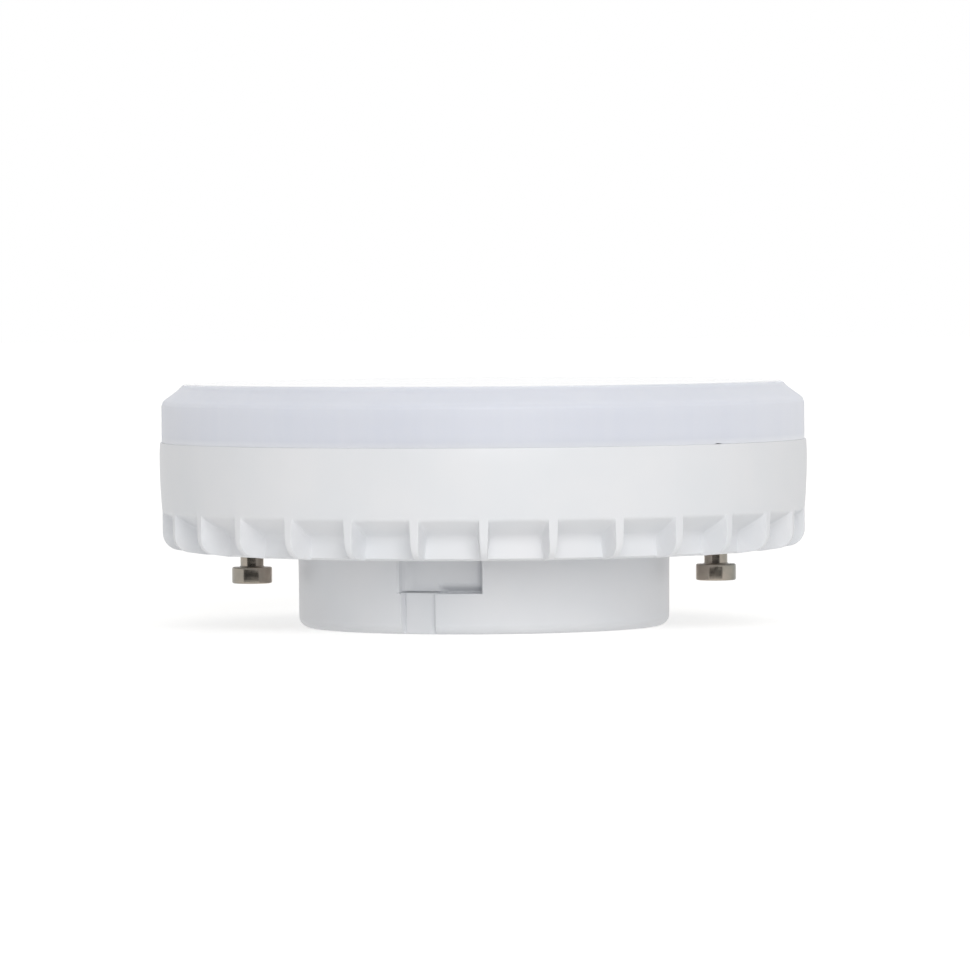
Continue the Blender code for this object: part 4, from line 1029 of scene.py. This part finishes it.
def dress_inner_pieces():
    """Materials for the pieces inside the lamp."""
    hanging_top_z = DRIVER_BOARD_LOW_Z - GAP
    legs_up = ("Z", hanging_top_z, 1)
    give_look(metal_sheet("aluminium_sheet", (0.74, 0.75, 0.76), 0.36, 0.4 * MM), "heat_sink")
    give_look(white_board(), "led_board")
    give_look(led_package(), *[f"led_{number:02d}" for number in range(1, 19)])
    give_look(
        metal_sheet("screw_steel", (0.62, 0.61, 0.58), 0.30, 0.15 * MM),
        *[f"board_screw_{number}" for number in range(1, 4)],
    )
    give_look(green_board(), "driver_board")
    sleeve = ((0.022, 0.028, 0.040), (0.040, 0.048, 0.062), 0.34, 1.5 * MM)
    give_look(component("capacitor_sleeve", *sleeve, legs_up), "output_capacitor")
    can_end = ("Y", box_of("input_capacitor")[0].y + CAN_LEG_REACH, -1)
    give_look(component("lying_capacitor_sleeve", *sleeve, legs_up, can_end), "input_capacitor")
    ferrite = component("ferrite", (0.050, 0.050, 0.054), (0.095, 0.094, 0.096), 0.62, 0.3 * MM, legs_up)
    give_look(ferrite, "filter_choke", "transformer_core_1", "transformer_core_2")
    film = component("film_case", (0.48, 0.36, 0.06), (0.60, 0.46, 0.10), 0.40, 0.5 * MM, legs_up)
    give_look(film, "film_capacitor")
    disc = component("disc_coating", (0.020, 0.075, 0.290), (0.045, 0.130, 0.420), 0.36, 0.8 * MM, legs_up)
    give_look(disc, "varistor")
    lead_reach = box_of("fusible_resistor")[1].x - RESISTOR_LEAD_REACH
    leads = [("X", lead_reach, 1), ("X", -lead_reach, -1)]
    lacquer = component(
        "resistor_coating", (0.090, 0.200, 0.175), (0.150, 0.300, 0.260), 0.52, 0.4 * MM, legs_up, *leads
    )
    give_look(lacquer, "fusible_resistor")
    black = ((0.022, 0.022, 0.023), (0.040, 0.040, 0.041))
    bobbin = component("bobbin_plastic", *black, 0.48, 0.3 * MM, legs_up)
    give_look(bobbin, "transformer_bobbin")
    give_look(winding_wire(), "transformer_winding")
    compound = ((0.018, 0.018, 0.019), (0.036, 0.036, 0.037), 0.55, 0.12 * MM)
    chips = [(node, "Y", CHIP_LEAD_REACH) for node in ("bridge_rectifier", "driver_chip", "output_diode")]
    chips += [(f"chip_resistor_{number}", "X", CHIP_CAP_WIDTH) for number in range(1, 5)]
    for node, axis, reach in chips:
        low, high = [corner["XYZ".index(axis)] for corner in box_of(node)]
        ends = ((axis, high - reach, 1), (axis, low + reach, -1))
        give_look(component(f"{node}_compound", *compound, *ends), node)
    white_wire = insulation("wire_white", (0.74, 0.74, 0.71), (0.82, 0.82, 0.80))
    give_look(white_wire, "input_wire_left", "input_wire_right")
    give_look(insulation("wire_red", (0.44, 0.018, 0.014), (0.60, 0.040, 0.028)), "output_wire_positive")
    give_look(insulation("wire_black", (0.014, 0.014, 0.015), (0.030, 0.030, 0.032)), "output_wire_negative")


# Studio

FLOOR_SIZE = 6.0
FLOOR_COLOUR = (0.762, 0.755, 0.738, 1.0)
FLOOR_GLOW = 0.235
SEEN_NEAR = 0.30
SEEN_FAR = 0.60
SEEN_NEAR_R = 120.0 * MM
SEEN_FAR_R = 900.0 * MM
ROOM_LIGHT = 0.46
CARD_DISTANCE = 450.0 * MM
CARD_LEFT = math.radians(-50.0)
CARD_RIGHT = math.radians(38.0)
CARD_TOP = 70.0 * MM
CARD_BOTTOM = -70.0 * MM
CARD_STEPS = 12
CARD_COLOUR = (0.03, 0.03, 0.03, 1.0)
CARD_ROUGHNESS = 0.9

# Each lamp is (name, place, size, power), in metres and watts
LAMPS = (
    ("key", (0.15, -1.10, 0.44), 0.7, 5.9),
    ("top", (0.10, 0.10, 1.10), 0.9, 2.1),
)
LAMP_TARGET = (0.0, 0.0, 0.018)


def seen_directly(nodes, links):
    """1 for rays that show the background: camera, glossy and transmission rays."""
    path = nodes.new("ShaderNodeLightPath")
    total = path.outputs["Is Camera Ray"]
    for kind in ("Is Glossy Ray", "Is Transmission Ray"):
        node = nodes.new("ShaderNodeMath")
        node.operation = "MAXIMUM"
        links.new(total, node.inputs[0])
        links.new(path.outputs[kind], node.inputs[1])
        total = node.outputs["Value"]
    return total


def make_world():
    """A white room: strength 1 where it is seen, softer where it only lights the lamp."""
    world = bpy.data.worlds.new("studio")
    bpy.context.scene.world = world
    world.use_nodes = True
    nodes = world.node_tree.nodes
    links = world.node_tree.links
    background = nodes["Background"]
    background.inputs["Color"].default_value = (1.0, 1.0, 1.0, 1.0)
    level = nodes.new("ShaderNodeMapRange")
    level.inputs["To Min"].default_value = ROOM_LIGHT
    level.inputs["To Max"].default_value = 1.0
    links.new(seen_directly(nodes, links), level.inputs["Value"])
    links.new(level.outputs["Result"], background.inputs["Strength"])


def make_floor():
    """A softly lit white table: it keeps the lamp's shadow and reads as white in the open."""
    bm = bmesh.new()
    bmesh.ops.create_grid(bm, x_segments=1, y_segments=1, size=FLOOR_SIZE / 2)
    floor = object_from("floor", bm)
    material = bpy.data.materials.new("floor_paper")
    material.use_nodes = True
    nodes = material.node_tree.nodes
    links = material.node_tree.links
    shader = nodes["Principled BSDF"]
    shader.inputs["Base Color"].default_value = FLOOR_COLOUR
    shader.inputs["Roughness"].default_value = 1.0
    shader.inputs["Specular IOR Level"].default_value = 0.0
    shader.inputs["Emission Color"].default_value = (1.0, 1.0, 1.0, 1.0)
    place = nodes.new("ShaderNodeTexCoord")
    reach = nodes.new("ShaderNodeVectorMath")
    reach.operation = "LENGTH"
    links.new(place.outputs["Object"], reach.inputs[0])
    seen = nodes.new("ShaderNodeMapRange")
    seen.inputs["From Min"].default_value = SEEN_NEAR_R
    seen.inputs["From Max"].default_value = SEEN_FAR_R
    seen.inputs["To Min"].default_value = SEEN_NEAR
    seen.inputs["To Max"].default_value = SEEN_FAR
    links.new(reach.outputs["Value"], seen.inputs["Value"])
    glow = nodes.new("ShaderNodeMath")
    glow.operation = "MULTIPLY_ADD"
    glow.inputs[2].default_value = FLOOR_GLOW
    links.new(seen_directly(nodes, links), glow.inputs[0])
    links.new(seen.outputs["Result"], glow.inputs[1])
    links.new(glow.outputs["Value"], shader.inputs["Emission Strength"])
    floor.data.materials.append(material)
    floor.visible_glossy = False


def make_card():
    """A dark card round the camera, as the dark side of a room, which only gloss and metal see."""
    bm = bmesh.new()
    rows = []
    for i in range(CARD_STEPS + 1):
        angle = -math.pi / 2 + CARD_LEFT + (CARD_RIGHT - CARD_LEFT) * i / CARD_STEPS
        rows.append([bm.verts.new(polar(CARD_DISTANCE, angle, height)) for height in (CARD_BOTTOM, CARD_TOP)])
    for first, second in zip(rows, rows[1:]):
        bm.faces.new((first[0], second[0], second[1], first[1]))
    card = object_from("dark_card", bm)
    material = bpy.data.materials.new("dark_card")
    material.use_nodes = True
    shader = material.node_tree.nodes["Principled BSDF"]
    shader.inputs["Base Color"].default_value = CARD_COLOUR
    shader.inputs["Roughness"].default_value = CARD_ROUGHNESS
    card.data.materials.append(material)
    card.visible_camera = False
    card.visible_diffuse = False
    card.visible_shadow = False


def make_lamps():
    """A broad key in front and slightly to the right, and a weak soft lamp above."""
    for name, place, size, power in LAMPS:
        data = bpy.data.lights.new(name, "AREA")
        data.shape = "SQUARE"
        data.size = size
        data.energy = power
        lamp = bpy.data.objects.new(name, data)
        lamp.location = place
        lamp.rotation_euler = (Vector(LAMP_TARGET) - Vector(place)).to_track_quat("-Z", "Y").to_euler()
        bpy.context.scene.collection.objects.link(lamp)


def make_camera():
    """Camera at the photo's angle: far away, with a long lens, and slightly rolled."""
    data = bpy.data.cameras.new("camera")
    data.lens = CAMERA_LENS
    data.sensor_width = CAMERA_SENSOR
    camera = bpy.data.objects.new("camera", data)
    camera.location = (CAMERA_SIDE, -CAMERA_DISTANCE, CAMERA_HEIGHT)
    camera.rotation_mode = "QUATERNION"
    aim = Matrix.Rotation(math.pi / 2 - CAMERA_PITCH, 4, "X") @ Matrix.Rotation(-CAMERA_ROLL, 4, "Z")
    camera.rotation_quaternion = aim.to_quaternion()
    bpy.context.scene.collection.objects.link(camera)
    bpy.context.scene.camera = camera


make_housing(white_plastic())
make_diffuser(opal_plastic())
make_pins(nickel_plate())
dress_inner_pieces()
make_world()
make_floor()
make_card()
make_lamps()
make_camera()
bpy.context.scene.view_settings.view_transform = "Standard"
